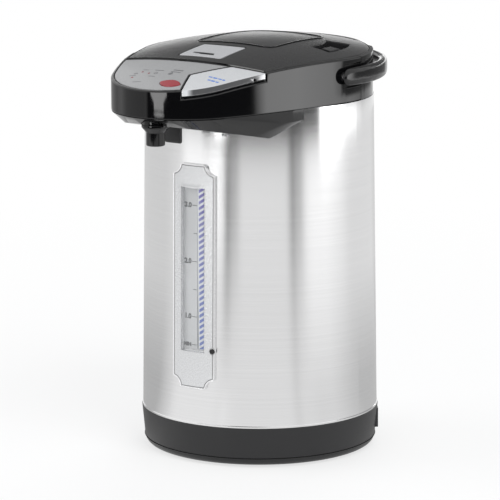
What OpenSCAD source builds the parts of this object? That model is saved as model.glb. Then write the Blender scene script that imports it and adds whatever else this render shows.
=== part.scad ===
// Electric thermo pot with pump spout, hinged lid, manual pump plate and bail handle.
// Origin: on the body's axis, at the level of the surface it stands on. +Z up, front is -Y.

/* [Body] */
// Height of the black base ring
base_h = 33; // [30:0.5:40]
// How far the base ring stands out from the steel shell
base_step = 0.9; // [0.6:0.1:1.4]
// Wall of the base ring
base_wall = 2.8; // [2:0.1:3.5]
// Height of the visible steel shell
shell_h = 257.5; // [250:0.5:270]
// Shell radius at the bottom
shell_bottom_r = 96.3; // [96:0.1:96.5]
// Shell radius at the top
shell_top_r = 92.9; // [92.8:0.1:93.4]
// Sheet thickness of the shell
shell_t = 0.6; // [0.4:0.1:0.7]
// Height of the feet below the base ring
foot_clear = 1.5; // [1:0.1:2]

/* [Inner pot] */
// Inner radius of the water pot
pot_r = 83; // [81:0.1:83]
// Sheet thickness of the pot
pot_t = 0.6; // [0.4:0.1:0.7]
// Height of the pot's floor above the ground
pot_floor_z = 75; // [74:0.5:80]
// Radius of the pot's bottom corner
pot_corner_r = 12; // [8:0.5:16]

/* [Head] */
// Radius of the round rear part of the head
rear_r = 92.3; // [92.2:0.1:92.6]
// Radius of the nose
nose_r = 59; // [57:0.5:61]
// Distance of the nose's centre in front of the axis
nose_c = 104.5; // [103:0.5:106]
// Radius of the flanks that join them
flank_r = 500; // [450:10:600]
// Wall of the head
head_wall = 2.8; // [2.4:0.1:2.8]
// Width of the rim round the lid
rim_w = 3; // [2.9:0.1:3.2]
// Height of the dome above the steel shell
dome_h = 46; // [45:0.5:50]
// Crown radius of the dome from side to side
dome_rx = 390; // [370:5:420]
// Crown radius of the dome from front to back
dome_ry = 545; // [520:5:580]
// Gap round the lid, panel, key and plates
seam = 0.6; // [0.4:0.1:0.8]

/* [Lid] */
// Front of the lid, in front of the axis
lid_front = 97; // [96:0.5:98]
// Radius of the lid's front edge in plan
divider_r = 352; // [320:1:400]
// Distance of the hinge axis behind the body's axis
hinge_y = 79; // [78:0.5:79]
// Radius of the lid's hinge barrel
barrel_r = 4; // [3.5:0.1:4]
// Radius of the hinge pin
hinge_pin_r = 1.5; // [1.2:0.1:2]
// Width of the lid lever
lever_w = 40; // [36:0.5:42]
// Depth of the lid lever
lever_d = 37; // [34:0.5:38]
// Half width of the pump plate
plate_hw = 37.5; // [35:0.5:38]
// Front edge of the pump plate
plate_front = 39; // [37:0.5:40]
// Rear edge of the pump plate
plate_rear = 44; // [40:0.5:46]
// Travel of the pump plate
pump_travel = 12; // [8:0.5:13]

/* [Spout] */
// Distance of the nozzle in front of the axis
nozzle_y = 146.5; // [144:0.5:148]
// Outer radius of the nozzle
nozzle_r = 7.5; // [7:0.1:8]
// Bore radius of the nozzle
nozzle_bore_r = 5; // [4.5:0.1:5.5]
// Height of the nozzle's mouth below the steel shell's top
nozzle_drop = 23.5; // [20:0.5:26]
// Radius of the level tube
tube_r = 3.1; // [2.6:0.1:3.1]
// Wall of tubes
tube_t = 1; // [0.8:0.1:1.2]
// Sideways place of the level tube and pump
tube_x = 6.5; // [6:0.1:7]

/* [Gauge] */
// Width of the gauge frame
gauge_w = 40; // [38:0.5:44]
// Height of the gauge frame
gauge_h = 182; // [178:1:186]
// Lower edge of the gauge frame above the base ring
gauge_z = 30; // [28:0.5:34]
// Width of the gauge window
window_w = 22; // [20:0.5:24]
// Height of the gauge window
window_h = 133; // [128:1:136]
// Lower edge of the window above the frame's lower edge
window_z = 30; // [28:0.5:34]
// Thickness of the gauge frame
gauge_t = 2.8; // [2.2:0.1:3.2]

/* [Handle] */
// Thickness of the handle's grip
handle_t = 7.6; // [7:0.1:8.4]
// Distance of the grip's centre behind the axis
handle_y = 7; // [6:0.5:8]
// Height of the handle's arms
handle_h = 15.5; // [14:0.5:16]
// Distance of the pivots in front of the axis
pivot_y = 15; // [13:0.5:16]
// Height of the pivots above the steel shell's top
pivot_up = 21.5; // [21:0.5:23]
// Radius of the pivot pins
pivot_r = 3; // [2.5:0.1:3.5]

/* [Hidden] */
$fn = 96;
fine = 360;                 // facets of a circle where the outline shows
fit = 0.05;                 // radial clearance of a pin in its bore
gap = 0.3;                  // clearance between separate pieces
big = 400;

base_r = shell_bottom_r + base_step;    // outer radius of the base ring at its top

// heights
floor_z = foot_clear + 2.5;             // underside of the base ring's floor
floor_t = 2.5;
head_z = base_h + shell_h;              // top of the steel shell
peak_z = head_z + dome_h;               // top of the dome
dome_y = -3;                            // where the dome is highest
pot_top_z = head_z + 10;                // top of the pot's flange
deck_z = pot_top_z + 0.1;               // underside of the deck that clamps the pot
deck_t = 2.4;
lid_z = head_z + 23.5;                  // lower edge of the lid's skirt
hinge_z = head_z + 34.5;
hinge_back = 6.6;                       // from the lid's rear edge to the hinge axis
pivot_z = head_z + pivot_up;

// plan of the head: flank arcs that touch the round rear and the nose from outside
flank_y = (pow(flank_r - nose_r, 2) - pow(flank_r - rear_r, 2) - nose_c * nose_c) / (2 * nose_c);
flank_x = sqrt(pow(flank_r - rear_r, 2) - flank_y * flank_y);
function rear_touch(inset) = -flank_y * (rear_r - inset) / (flank_r - rear_r);
function nose_touch(inset) = -nose_c - (flank_y + nose_c) * (nose_r - inset) / (flank_r - nose_r);
divider_y = divider_r - lid_front;      // centre of the lid's front arc

// shell radius at a height
function shell_r(z) = shell_bottom_r + (shell_top_r - shell_bottom_r) * (z - base_h) / shell_h;

// gauge heights
gauge_lo = base_h + gauge_z;
window_lo = gauge_lo + window_z;

// pump and tubes
tube_y = shell_top_r - 5.2;
pump_y = 46;
pump_z = 40;                            // underside of the pump housing
pump_h = 14;
pump_r = 20;
outlet_z = pump_z + pump_h / 2;
spigot_r = 4;
hose_t = 1.5;
hose_bend = 9;
spout_z = head_z + 1.5;                   // height of the spout hose
nozzle_lo = head_z - nozzle_drop;
chin_z = head_z - 23;                   // lowest edge of the chin at the shell
chin_slope = atan(18 / 87);
function chin_at(y) = chin_z + (-y - 73) * tan(chin_slope);
nozzle_flange_z = chin_at(-nozzle_y) - 1;
flange_r = 11;

// inlet socket: direction from the axis, and size
inlet_angle = 35;                       // from +X towards +Y
inlet_w = 26;
inlet_h = 16;
inlet_z = 21;

// lid lever, latch and cup lever
lever_rear = lid_front - 11 - lever_d;  // rear edge, in front of the axis
lever_pin_z = peak_z - 5.2;
latch_z = head_z + 27;
latch_w = 14;
cup_y = 122;
cup_pin_z = chin_at(-cup_y) + 5;

// dispense key and button
key_t = 4.6;
key_pin_x = 41;
key_pin_len = 14.5;
key_pin_y = 103;
key_pin_z = peak_z - 18.5;
button_x = 14;
button_y = 146.5;
button_r = 10.5;
button_off = 4.6;

// ---------- shared shapes ----------

// Plan of the head, moved inwards by inset
module head_plan(inset = 0) {
    circle(r = rear_r - inset, $fn = fine);
    translate([0, -nose_c]) circle(r = nose_r - inset, $fn = fine);
    intersection() {
        rect(-rear_r, nose_touch(inset), rear_r, rear_touch(inset));
        intersection_for(side = [-1, 1])
            translate([side * flank_x, flank_y]) circle(r = flank_r - inset, $fn = 4 * fine);
    }
}

// Everything behind the curved line where the lid ends
module behind_divider(back = 0) {
    translate([0, divider_y]) circle(r = divider_r - back, $fn = 2 * fine);
}

// Solid below the dome, lowered by drop
module dome(drop = 0) {
    inner = dome_ry - 110;
    translate([0, dome_y, peak_z - dome_ry]) rotate([0, 90, 0])
        rotate_extrude($fn = 2 * fine)
            intersection() {
                translate([dome_ry - dome_rx - drop, 0]) circle(r = dome_rx, $fn = 4 * fine);
                translate([inner, -110]) square([140, 220]);
            }
}

module half(y, front = true) {
    translate([-big / 2, front ? y - big : y, 0]) cube([big, big, big]);
}

// Slice of a cone ring that follows the steel shell, from radius offset lo to hi
module shell_layer(lo, hi) {
    z0 = base_h;
    z1 = head_z;
    rotate_extrude($fn = fine)
        polygon([[shell_r(z0) + lo, z0], [shell_r(z0) + hi, z0],
                 [shell_r(z1) + hi, z1], [shell_r(z1) + lo, z1]]);
}

// Prism that runs forwards from the axis, drawn in X and Z
module front_prism(depth = 120) {
    rotate([90, 0, 0]) linear_extrude(height = depth) children();
}

module rect(x0, y0, x1, y1) {
    translate([x0, y0]) square([x1 - x0, y1 - y0]);
}

// Rectangle with round corners
module round_rect(x0, y0, x1, y1, r) {
    rect(x0 + r, y0, x1 - r, y1);
    rect(x0, y0 + r, x1, y1 - r);
    for (x = [x0 + r, x1 - r], y = [y0 + r, y1 - r])
        translate([x, y]) circle(r = r, $fn = 48);
}

module ring(r_out, r_in, h) {
    difference() {
        cylinder(r = r_out, h = h);
        translate([0, 0, -1]) cylinder(r = r_in, h = h + 2);
    }
}

// Quarter bend of a tube, from +X at the origin towards +Z
module bend(radius, r_out, r_in) {
    translate([0, 0, radius]) rotate([90, 0, 0])
        rotate_extrude(angle = 90, start = -90)
            translate([radius, 0]) difference() {
                circle(r = r_out, $fn = 48);
                circle(r = r_in, $fn = 48);
            }
}

// Round wire coil made of straight steps
module coil(r, wire_r, turns, h) {
    steps = 14;
    sides = 6;
    count = turns * steps;
    rings = [for (i = [0:count]) let (a = 360 * i / steps, z = wire_r + (h - 2 * wire_r) * i / count)
        [for (j = [0:sides - 1]) let (b = 360 * j / sides)
            [(r + wire_r * cos(b)) * cos(a), (r + wire_r * cos(b)) * sin(a), z + wire_r * sin(b)]]];
    points = [for (one = rings) each one];
    faces = concat([[for (j = [0:sides - 1]) j]],
        [[for (j = [sides - 1:-1:0]) count * sides + j]],
        [for (i = [0:count - 1], j = [0:sides - 1])
            [i * sides + j, (i + 1) * sides + j,
             (i + 1) * sides + (j + 1) % sides, i * sides + (j + 1) % sides]]);
    polyhedron(points = points, faces = faces);
}

// ---------- base ----------

screw_ring = base_r - 16.2;
screw_turns = [45, 135, 225, 315];
boss_r = 3.6;

module base_profile() {
    corner = 6;
    z0 = foot_clear;
    foot_r = base_r - 3;
    difference() {
        union() {
            difference() {
                polygon([[foot_r - 14, z0], [foot_r, z0], [base_r, base_h], [base_r - base_wall - 1, base_h],
                         [foot_r - base_wall - 1, floor_z + floor_t], [foot_r - 14, floor_z + floor_t]]);
                rect(foot_r - corner + 0.4, 0, foot_r + 4, z0 + corner);
            }
            intersection() {
                translate([foot_r - corner + 0.4, z0 + corner]) circle(r = corner);
                rect(foot_r - corner, 0, foot_r + 4, z0 + corner);
            }
        }
        rect(0, 0, base_r - 12, floor_z);
    }
}

module inlet_frame() {
    rotate([0, 0, inlet_angle]) translate([base_r - 1.2, 0, inlet_z]) children();
}

module base_housing() {
    color("#141416") difference() {
        union() {
            rotate_extrude($fn = fine) base_profile();
            // floor flange that the bottom cover is screwed to
            translate([0, 0, floor_z]) ring(base_r - 14, base_r - 22, floor_t);
            for (a = screw_turns)
                rotate([0, 0, a]) translate([screw_ring, 0, floor_z]) cylinder(r = boss_r, h = 12);
            // rest for the lower edge of the steel shell
            translate([0, 0, base_h - 3]) ring(base_r - 3, shell_bottom_r - 6, 3);
        }
        for (a = screw_turns)
            rotate([0, 0, a]) translate([screw_ring, 0, 0]) cylinder(r = 1.5, h = floor_z + 11);
        // opening for the inlet socket
        inlet_frame() translate([-20, -inlet_w / 2 - gap, -inlet_h / 2 - gap])
            cube([30, inlet_w + 2 * gap, inlet_h + 2 * gap]);
    }
}

cover_r = base_r - 12.3;

module bottom_cover() {
    color("#1b1b1d") difference() {
        translate([0, 0, foot_clear]) cylinder(r = cover_r, h = floor_z - foot_clear, $fn = fine);
        // groove of the anti-slip ring
        ring(foot_out, foot_in, foot_clear + 1.5);
        for (a = screw_turns) rotate([0, 0, a]) translate([screw_ring, 0, 0]) {
            cylinder(r = 1.55, h = 20);
            cylinder(r = 3.1, h = foot_clear + 1.4);
        }
        // air slots
        for (x = [-30:10:30]) translate([x - 1.5, -22, 0]) cube([3, 44, 10]);
    }
}

foot_out = cover_r - 8.9;
foot_in = foot_out - 8;

module anti_slip_ring() {
    color("#2a2a2c") ring(foot_out, foot_in, foot_clear + 1.5);
}

module bottom_screws() {
    color("#c0c0c0") for (a = screw_turns) rotate([0, 0, a]) translate([screw_ring, 0, foot_clear + 0.3]) {
        difference() {
            cylinder(r = 2.8, h = 1.1);
            translate([0, 0, -1]) cylinder(r = 1.2, h = 1.6, $fn = 6);
        }
        translate([0, 0, 1.1]) cylinder(r = 1.45, h = 10);
    }
}

module inlet_socket() {
    wall = 2;
    color("#101012") inlet_frame() difference() {
        union() {
            translate([-19, -inlet_w / 2, -inlet_h / 2]) cube([20, inlet_w, inlet_h]);
            // flange behind the ring's wall
            translate([-9.6, -inlet_w / 2 - 3, -inlet_h / 2 + 0.5]) cube([3, inlet_w + 6, inlet_h - 1]);
        }
        translate([-17, -inlet_w / 2 + wall, -inlet_h / 2 + wall])
            cube([30, inlet_w - 2 * wall, inlet_h - 2 * wall]);
        for (y = [-6, 6]) translate([-25, y, 0]) rotate([0, 90, 0]) cylinder(r = 2, h = 12);
    }
}

module inlet_pins() {
    color("#d8d8d8") inlet_frame() for (y = [-6, 6]) translate([-24, y, 0]) rotate([0, 90, 0]) {
        cylinder(r = 1.95, h = 16);
        translate([0, 0, 16]) sphere(r = 1.95, $fn = 32);
    }
}

// ---------- steel shell and gauge ----------

module outer_shell() {
    z0 = base_h + 0.1;
    color("#c9c9cb") difference() {
        rotate_extrude($fn = fine) union() {
            polygon([[shell_r(z0) - shell_t, z0], [shell_r(z0), z0],
                     [shell_r(head_z), head_z - 0.1], [shell_r(head_z) - shell_t, head_z - 0.1]]);
            // rolled lower edge
            polygon([[shell_r(z0) - shell_t, z0], [shell_r(z0) + 0.5, z0],
                     [shell_r(z0) + 0.5, z0 + 1.2], [shell_r(z0) - shell_t, z0 + 2]]);
        }
        // behind the gauge window
        front_prism() rect(-window_w / 2 + 1, window_lo + 1, window_w / 2 - 1, window_lo + window_h - 1);
        // passage of the spout hose, behind the chin
        front_prism() rect(-24, head_z - 8, 16, head_z + 1);
        // hole of the gauge screw
        gauge_screw_axis(10) cylinder(r = 1.2, h = 30);
    }
}

// Outline of the gauge frame: an octagon with small steps in its corners
module gauge_outline() {
    hw = gauge_w / 2;
    step = 3;
    cut = 9;
    half_points = [[hw - cut, 0], [hw - cut + step, step], [hw - step, cut - step], [hw, cut]];
    polygon(concat(
        [for (p = half_points) [p[0], gauge_lo + p[1]]],
        [for (i = [3:-1:0]) [half_points[i][0], gauge_lo + gauge_h - half_points[i][1]]],
        [for (p = half_points) [-p[0], gauge_lo + gauge_h - p[1]]],
        [for (i = [3:-1:0]) [-half_points[i][0], gauge_lo + half_points[i][1]]]));
}

module window_outline(grow = 0) {
    rect(-window_w / 2 - grow, window_lo - grow, window_w / 2 + grow, window_lo + window_h + grow);
}

gauge_screw_x = 18.5;
gauge_screw_z = gauge_lo + 32;
gauge_screw_seat = sqrt(pow(shell_r(gauge_screw_z) + gauge_t + 0.1, 2) - pow(gauge_screw_x, 2)) - 0.5;

// Axis of the gauge screw, from the seat of its head inwards
module gauge_screw_axis(back = 0) {
    translate([gauge_screw_x, -gauge_screw_seat - back, gauge_screw_z]) rotate([-90, 0, 0]) children();
}

module gauge_frame() {
    color("#b9babc") difference() {
        intersection() {
            shell_layer(0.1, 0.1 + gauge_t);
            front_prism() gauge_outline();
        }
        front_prism() window_outline();
        gauge_screw_axis(10) cylinder(r = 2.3, h = 10);
        gauge_screw_axis(10) cylinder(r = 1.2, h = 30);
    }
}

module gauge_window() {
    color([0.85, 0.88, 0.9, 0.4]) intersection() {
        shell_layer(0.1, gauge_t - 0.9);
        front_prism() window_outline(-0.15);
    }
}

scale_in = -shell_t - 1.3;

module level_scale() {
    color("#e6e7e8") intersection() {
        shell_layer(scale_in, -shell_t - 0.3);
        front_prism() difference() {
            window_outline(2);
            // slot in front of the level tube
            rect(tube_x - 4.2, window_lo + 2, tube_x + 3.4, window_lo + window_h - 2);
        }
    }
}

module gauge_screw() {
    color("#101010") {
        gauge_screw_axis(1.3) cylinder(r = 2, h = 1.3);
        gauge_screw_axis() cylinder(r = 1.15, h = 7);
    }
}

// ---------- water pot, heater and pump ----------

pot_flange_r = pot_r + 5.6;
outlet_r = 6;

module inner_pot() {
    out = pot_r + pot_t;
    color("#d4d5d7") difference() {
        union() {
            rotate_extrude($fn = fine) difference() {
                union() {
                    rect(0, pot_floor_z - pot_t, out - pot_corner_r, pot_floor_z + pot_corner_r);
                    rect(0, pot_floor_z + pot_corner_r - pot_t, out, pot_top_z);
                    translate([out - pot_corner_r, pot_floor_z - pot_t + pot_corner_r])
                        circle(r = pot_corner_r);
                    rect(0, pot_top_z - 0.6, pot_flange_r, pot_top_z);
                }
                rect(-1, pot_floor_z, pot_r - pot_corner_r + pot_t, pot_floor_z + pot_corner_r + 1);
                rect(-1, pot_floor_z + pot_corner_r - pot_t, pot_r, pot_top_z + 1);
                translate([out - pot_corner_r, pot_floor_z - pot_t + pot_corner_r])
                    circle(r = pot_corner_r - pot_t);
            }
            translate([tube_x, -pump_y, pot_floor_z - 11]) cylinder(r = outlet_r, h = 11);
        }
        translate([tube_x, -pump_y, pot_floor_z - 20]) cylinder(r = outlet_r - tube_t, h = 40);
    }
}

ring_in = pot_r + 1.3;
ring_mid = rear_r - 3;

module pot_support_ring() {
    color("#202022") difference() {
        rotate_extrude($fn = fine) polygon([
            [ring_in, pot_top_z - 1.6], [ring_mid, pot_top_z - 1.6], [ring_mid, head_z - 0.1],
            [shell_top_r - 0.8, head_z - 0.1], [shell_top_r - 0.8, head_z - 10], [shell_top_r - 3, head_z - 10],
            [shell_top_r - 3, head_z - 2.3], [ring_mid - 2.4, head_z - 2.3], [ring_mid - 2.4, pot_top_z - 4.1],
            [ring_in, pot_top_z - 4.1]]);
        // gate for the spout hose and the wire loom
        translate([-24, -110, head_z - 20]) cube([38, 60, 20 + 7]);
    }
}

module pot_seal() {
    color("#e8e4dc") translate([0, 0, pot_top_z - 1.6]) ring(pot_flange_r, ring_in, 1);
}

module heater_plate() {
    z = pot_floor_z - pot_t - 6;
    color("#8d8f92") translate([0, 0, z]) difference() {
        union() {
            cylinder(r = 62, h = 4, $fn = fine);
            translate([0, 0, 4]) ring(52, 40, 2);
        }
        translate([tube_x, -pump_y, -1]) cylinder(r = 11, h = 10);
        for (side = [-1, 1]) translate([side * 45, 20, -1]) cylinder(r = 1.8, h = 4);
    }
    // terminals
    color("#c8b070") for (side = [-1, 1])
        translate([side * 20 - 3, 40, z - 9]) cube([6, 0.8, 9]);
}

module thermostats() {
    z = pot_floor_z - pot_t - 6;
    color("#b8b8b8") for (p = [[-10, 14], [16, 8]]) translate([p[0], p[1], z - 9]) {
        cylinder(r = 8, h = 9);
        translate([-1.5, -6, -5]) cube([3, 0.8, 5]);
        translate([-1.5, 5, -5]) cube([3, 0.8, 5]);
    }
}

module pump_housing() {
    inlet_top = pot_floor_z - 12;
    color("#e0dccf") difference() {
        union() {
            translate([tube_x, -pump_y, pump_z]) cylinder(r = pump_r, h = pump_h);
            translate([tube_x, -pump_y, pump_z + pump_h])
                cylinder(r = outlet_r, h = inlet_top - pump_z - pump_h);
            translate([tube_x, -pump_y, outlet_z]) rotate([90, 0, 0])
                cylinder(r = spigot_r, h = tube_y - hose_bend - pump_y);
        }
        translate([tube_x, -pump_y, pump_z + 2]) cylinder(r = pump_r - 2.2, h = pump_h - 4);
        translate([tube_x, -pump_y, pump_z + 5]) cylinder(r = outlet_r - tube_t, h = 40);
        translate([tube_x, -pump_y - 10, outlet_z]) rotate([90, 0, 0])
            cylinder(r = spigot_r - tube_t, h = 60);
        translate([tube_x, -pump_y, pump_z - 1]) cylinder(r = 1.55, h = 6);
    }
}

module pump_impeller() {
    color("#f0f0f0") translate([tube_x, -pump_y, pump_z + 3]) {
        cylinder(r = 15, h = 1.5);
        cylinder(r = 3.4, h = 6);
        for (a = [0:60:300]) rotate([0, 0, a]) translate([3, -0.6, 1]) cube([11, 1.2, 5]);
        // shaft down into the motor
        translate([0, 0, -21]) cylinder(r = 1.5, h = 22);
    }
}

motor_r = 13.5;
motor_h = 26;

module pump_motor() {
    z = pump_z - 2.5 - motor_h;
    color("#9a9da0") translate([tube_x, -pump_y, z]) difference() {
        union() {
            cylinder(r = motor_r, h = motor_h);
            cylinder(r = 5, h = motor_h + 1);
        }
        translate([0, 0, motor_h - 19]) cylinder(r = 1.55, h = 40);
    }
}

module motor_bracket() {
    color("#3a3a3c") difference() {
        union() {
            translate([tube_x - 21, -pump_y - 14, pump_z - 2.5]) cube([42, 28, 2.4]);
            for (side = [-1, 1])
                translate([tube_x + side * 19.5 - 1.5, -pump_y - 14, floor_z + 0.1])
                    cube([3, 28, pump_z - 2.5 - floor_z]);
        }
        translate([tube_x, -pump_y, pump_z - 5]) cylinder(r = 5.3, h = 10);
    }
}

module suction_hose() {
    lo = pump_z + pump_h + 0.3;
    hi = pot_floor_z - pot_t - 0.4;
    color("#f2efe6") translate([tube_x, -pump_y, lo]) ring(outlet_r + hose_t, outlet_r + fit, hi - lo);
}

module lower_hose() {
    r_in = spigot_r + fit;
    r_out = r_in + hose_t;
    color("#f2efe6") translate([tube_x, -tube_y, 0]) {
        translate([0, hose_bend, outlet_z]) rotate([0, 0, -90]) bend(hose_bend, r_out, r_in);
        translate([0, hose_bend, outlet_z]) rotate([-90, 0, 0]) ring(r_out, r_in, 9);
        translate([0, 0, outlet_z + hose_bend]) ring(r_out, tube_r + fit, 14);
    }
}

tube_lo = outlet_z + hose_bend + 2;
tube_hi = spout_z - hose_bend;

module level_tube() {
    color([0.8, 0.87, 0.95, 0.5]) translate([tube_x, -tube_y, tube_lo])
        ring(tube_r, tube_r - tube_t, tube_hi - 4 - tube_lo);
}

// direction of the spout hose in plan, from the tube to the nozzle
spout_turn = atan2(tube_x, nozzle_y - tube_y);
spout_len = sqrt(tube_x * tube_x + pow(nozzle_y - tube_y, 2));
spout_bend = 6;

module spout_hose() {
    r_in = tube_r + fit;
    r_out = r_in + 0.9;
    color("#f2efe6") translate([tube_x, -tube_y, 0]) rotate([0, 0, -spout_turn]) {
        translate([0, 0, tube_hi - 12]) ring(r_out, r_in, 12);
        translate([0, -hose_bend, spout_z]) rotate([0, 0, 90]) mirror([0, 0, 1])
            bend(hose_bend, r_out, r_in);
        translate([0, -hose_bend, spout_z]) rotate([90, 0, 0])
            ring(r_out, r_in, spout_len - hose_bend - spout_bend);
        translate([0, -spout_len + spout_bend, spout_z]) rotate([0, 0, -90]) mirror([0, 0, 1])
            bend(spout_bend, r_out, r_in);
        translate([0, -spout_len, nozzle_flange_z + 2.3])
            ring(r_out, r_in, spout_z - spout_bend - nozzle_flange_z - 2.3);
    }
}

module spout_nozzle() {
    flange_top = nozzle_flange_z + 2.2;
    top = spout_z - spout_bend - 0.2;
    color("#161618") translate([0, -nozzle_y, 0]) difference() {
        rotate_extrude() polygon([
            [0, nozzle_lo], [nozzle_r - 0.6, nozzle_lo], [nozzle_r, nozzle_lo + 0.6],
            [nozzle_r, nozzle_flange_z - 4], [flange_r, nozzle_flange_z], [flange_r, flange_top],
            [tube_r, flange_top], [tube_r, top], [0, top]]);
        translate([0, 0, nozzle_lo - 1]) cylinder(r = nozzle_bore_r, h = nozzle_flange_z - nozzle_lo);
        cylinder(r = tube_r - tube_t, h = big);
    }
}

// ---------- electrics ----------

board_z = 14;
board_front = 6;            // front edge of the board, behind the axis

module power_board() {
    color("#2f6b3a") translate([-45, board_front, board_z]) difference() {
        cube([80, 52, 1.6]);
        for (x = [40, 76], y = [4, 48]) translate([x, y, -1]) cylinder(r = 1.6, h = 4);
    }
    // stand-offs up from the bottom cover
    color("#2f6b3a") for (x = [6, 70], y = [10, 42])
        translate([x - 45, y + board_front, floor_z + 0.1]) cylinder(r = 2.4, h = board_z - floor_z);
}

module board_components() {
    top = board_z + 1.6;
    color("#3b3b3d") {
        translate([-35, 14, top]) cube([24, 22, 19]);
        translate([-4, 14, top]) cube([16, 12, 14]);
    }
    color("#2c4a78") for (p = [[20, 20], [20, 36], [-20, 46]])
        translate([p[0], p[1], top]) cylinder(r = 5, h = 14);
}

loom_x = -20;
loom_r = 1.8;
loom_y = 85.5;
loom_z = board_z + 0.8;
loom_hi = head_z - 2;
loom_front = 113;
loom_bend = 7;

// Cable tree from the power board up behind the shell to the control board
module wire_loom() {
    color("#c03030") translate([loom_x, 0, 0]) {
        translate([0, board_front - 0.1, loom_z]) rotate([90, 0, 0])
            cylinder(r = loom_r, h = board_front - 0.1 + loom_y - loom_bend);
        translate([0, loom_bend - loom_y, loom_z]) rotate([0, 0, -90]) bend(loom_bend, loom_r, 0);
        translate([0, -loom_y, loom_z + loom_bend])
            cylinder(r = loom_r, h = loom_hi - 2 * loom_bend - loom_z);
        translate([0, -loom_y - loom_bend, loom_hi]) rotate([0, 0, 90]) mirror([0, 0, 1])
            bend(loom_bend, loom_r, 0);
        translate([0, -loom_y - loom_bend, loom_hi]) rotate([90, 0, 0])
            cylinder(r = loom_r, h = loom_front - loom_y - 2 * loom_bend);
        translate([0, loom_bend - loom_front, loom_hi]) rotate([0, 0, -90]) bend(loom_bend, loom_r, 0);
        translate([0, -loom_front, loom_hi + loom_bend])
            cylinder(r = loom_r, h = control_z - loom_hi - loom_bend - 0.1);
    }
}

// ---------- head ----------

control_z = head_z + 13;
split_y = 9;                // seam between the head housing and the rear collar
panel_t = 2;
wall_gap = seam + 2.6;      // from the lid's front edge to the far face of the wall behind the panel
key_drop = 1.9;             // room below the dispense key
recess = 1.2;               // depth of the handle's seat
chin_post = [30, 94];

// Right-hand corner of the nose, which the dispense key fills
module key_side(grow = 0) {
    polygon([[39 - grow, -92], [39 - grow, -99], [20 - grow, -127], [36.5 - grow, -170],
             [120, -170], [120, -92]]);
}

// Everything in front of the wall behind the panel
module nose_plan(inset) {
    difference() {
        intersection() {
            head_plan(inset);
            rect(-big, -big, big, -lid_front + 8);
        }
        behind_divider(-wall_gap);
    }
}

module pivot_axis(x) {
    for (side = [-1, 1]) translate([side * x, -pivot_y, pivot_z]) rotate([0, side * 90, 0]) children();
}

module handle_recess() {
    r = handle_h / 2 + recess;
    pivot_axis(rear_r - recess) cylinder(r = r, h = 10);
    for (side = [-1, 1])
        translate([side * (rear_r - recess + 5) - 5, -pivot_y, pivot_z - r]) cube([10, 40, 2 * r]);
}

module head_shell_solid() {
    intersection() {
        dome();
        union() {
            difference() {
                translate([0, 0, head_z]) linear_extrude(height = 60) head_plan();
                translate([0, 0, head_z - 1]) linear_extrude(height = 80) head_plan(head_wall);
            }
            // thicker rim round the lid
            difference() {
                translate([0, 0, lid_z - 8]) linear_extrude(height = 60) head_plan();
                translate([0, 0, lid_z - 9]) linear_extrude(height = 80) head_plan(rim_w);
            }
            // deck that clamps the pot's flange
            translate([0, 0, deck_z]) linear_extrude(height = deck_t) difference() {
                intersection() {
                    head_plan(1);
                    behind_divider(-wall_gap);
                }
                circle(r = pot_flange_r - 1.8, $fn = fine);
            }
            // wall between the lid and the panel
            translate([0, 0, deck_z]) linear_extrude(height = 60) intersection() {
                head_plan(1);
                difference() {
                    behind_divider(-wall_gap);
                    behind_divider(-seam);
                }
            }
        }
    }
}

module head_housing() {
    color("#131315") difference() {
        intersection() {
            head_shell_solid();
            half(split_y);
        }
        // room for the dispense key
        intersection() {
            translate([0, 0, head_z]) linear_extrude(height = 80) difference() {
                key_side(seam);
                behind_divider(-wall_gap);
            }
            difference() { translate([0, 0, 60]) dome(); dome(key_t + key_drop); }
        }
        handle_recess();
        pivot_axis(rear_r - 10) cylinder(r = pivot_r + fit, h = 30);
        // slot that the latch catches in
        translate([-latch_w / 2 - gap, -lid_front - 8, latch_z - 2.5]) cube([latch_w + 2 * gap, 12, 5]);
    }
    color("#131315") {
        // ledge that carries the panel
        intersection() {
            difference() { dome(panel_t); dome(panel_t + 2); }
            translate([0, 0, head_z]) linear_extrude(height = 60) difference() {
                nose_plan(rim_w - 0.5);
                head_plan(rim_w + 3);
                key_side(seam + 1.2);
            }
        }
        // lip behind the dispense key's skirt
        intersection() {
            difference() { dome(key_t - 0.4); dome(key_t + key_drop + 3); }
            translate([0, 0, head_z]) linear_extrude(height = 60) intersection() {
                difference() { nose_plan(2.4); head_plan(4); }
                key_side(-0.6);
            }
        }
        // lugs of the key's pin
        for (x = [key_pin_x, key_pin_x + key_pin_len - 3]) difference() {
            translate([x, -key_pin_y - 3.4, deck_z]) cube([3, 10.8, key_pin_z + 2.3 - deck_z]);
            translate([x - 1, -key_pin_y, key_pin_z]) rotate([0, 90, 0]) cylinder(r = 1.5 + fit, h = 5);
        }
        // posts of the chin's screws
        for (side = [-1, 1]) translate([side * chin_post[0], -chin_post[1], chin_at(-chin_post[1]) + 5.4])
            ring(3.6, 1.45, deck_z - chin_at(-chin_post[1]) - 5.4);
    }
}

lug_x = 32;
lug_w = 4;
groove_r = barrel_r + 2.8;

module hinge_cylinder(r, x, w) {
    translate([x, hinge_y, hinge_z]) rotate([0, 90, 0]) cylinder(r = r, h = w);
}

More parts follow.
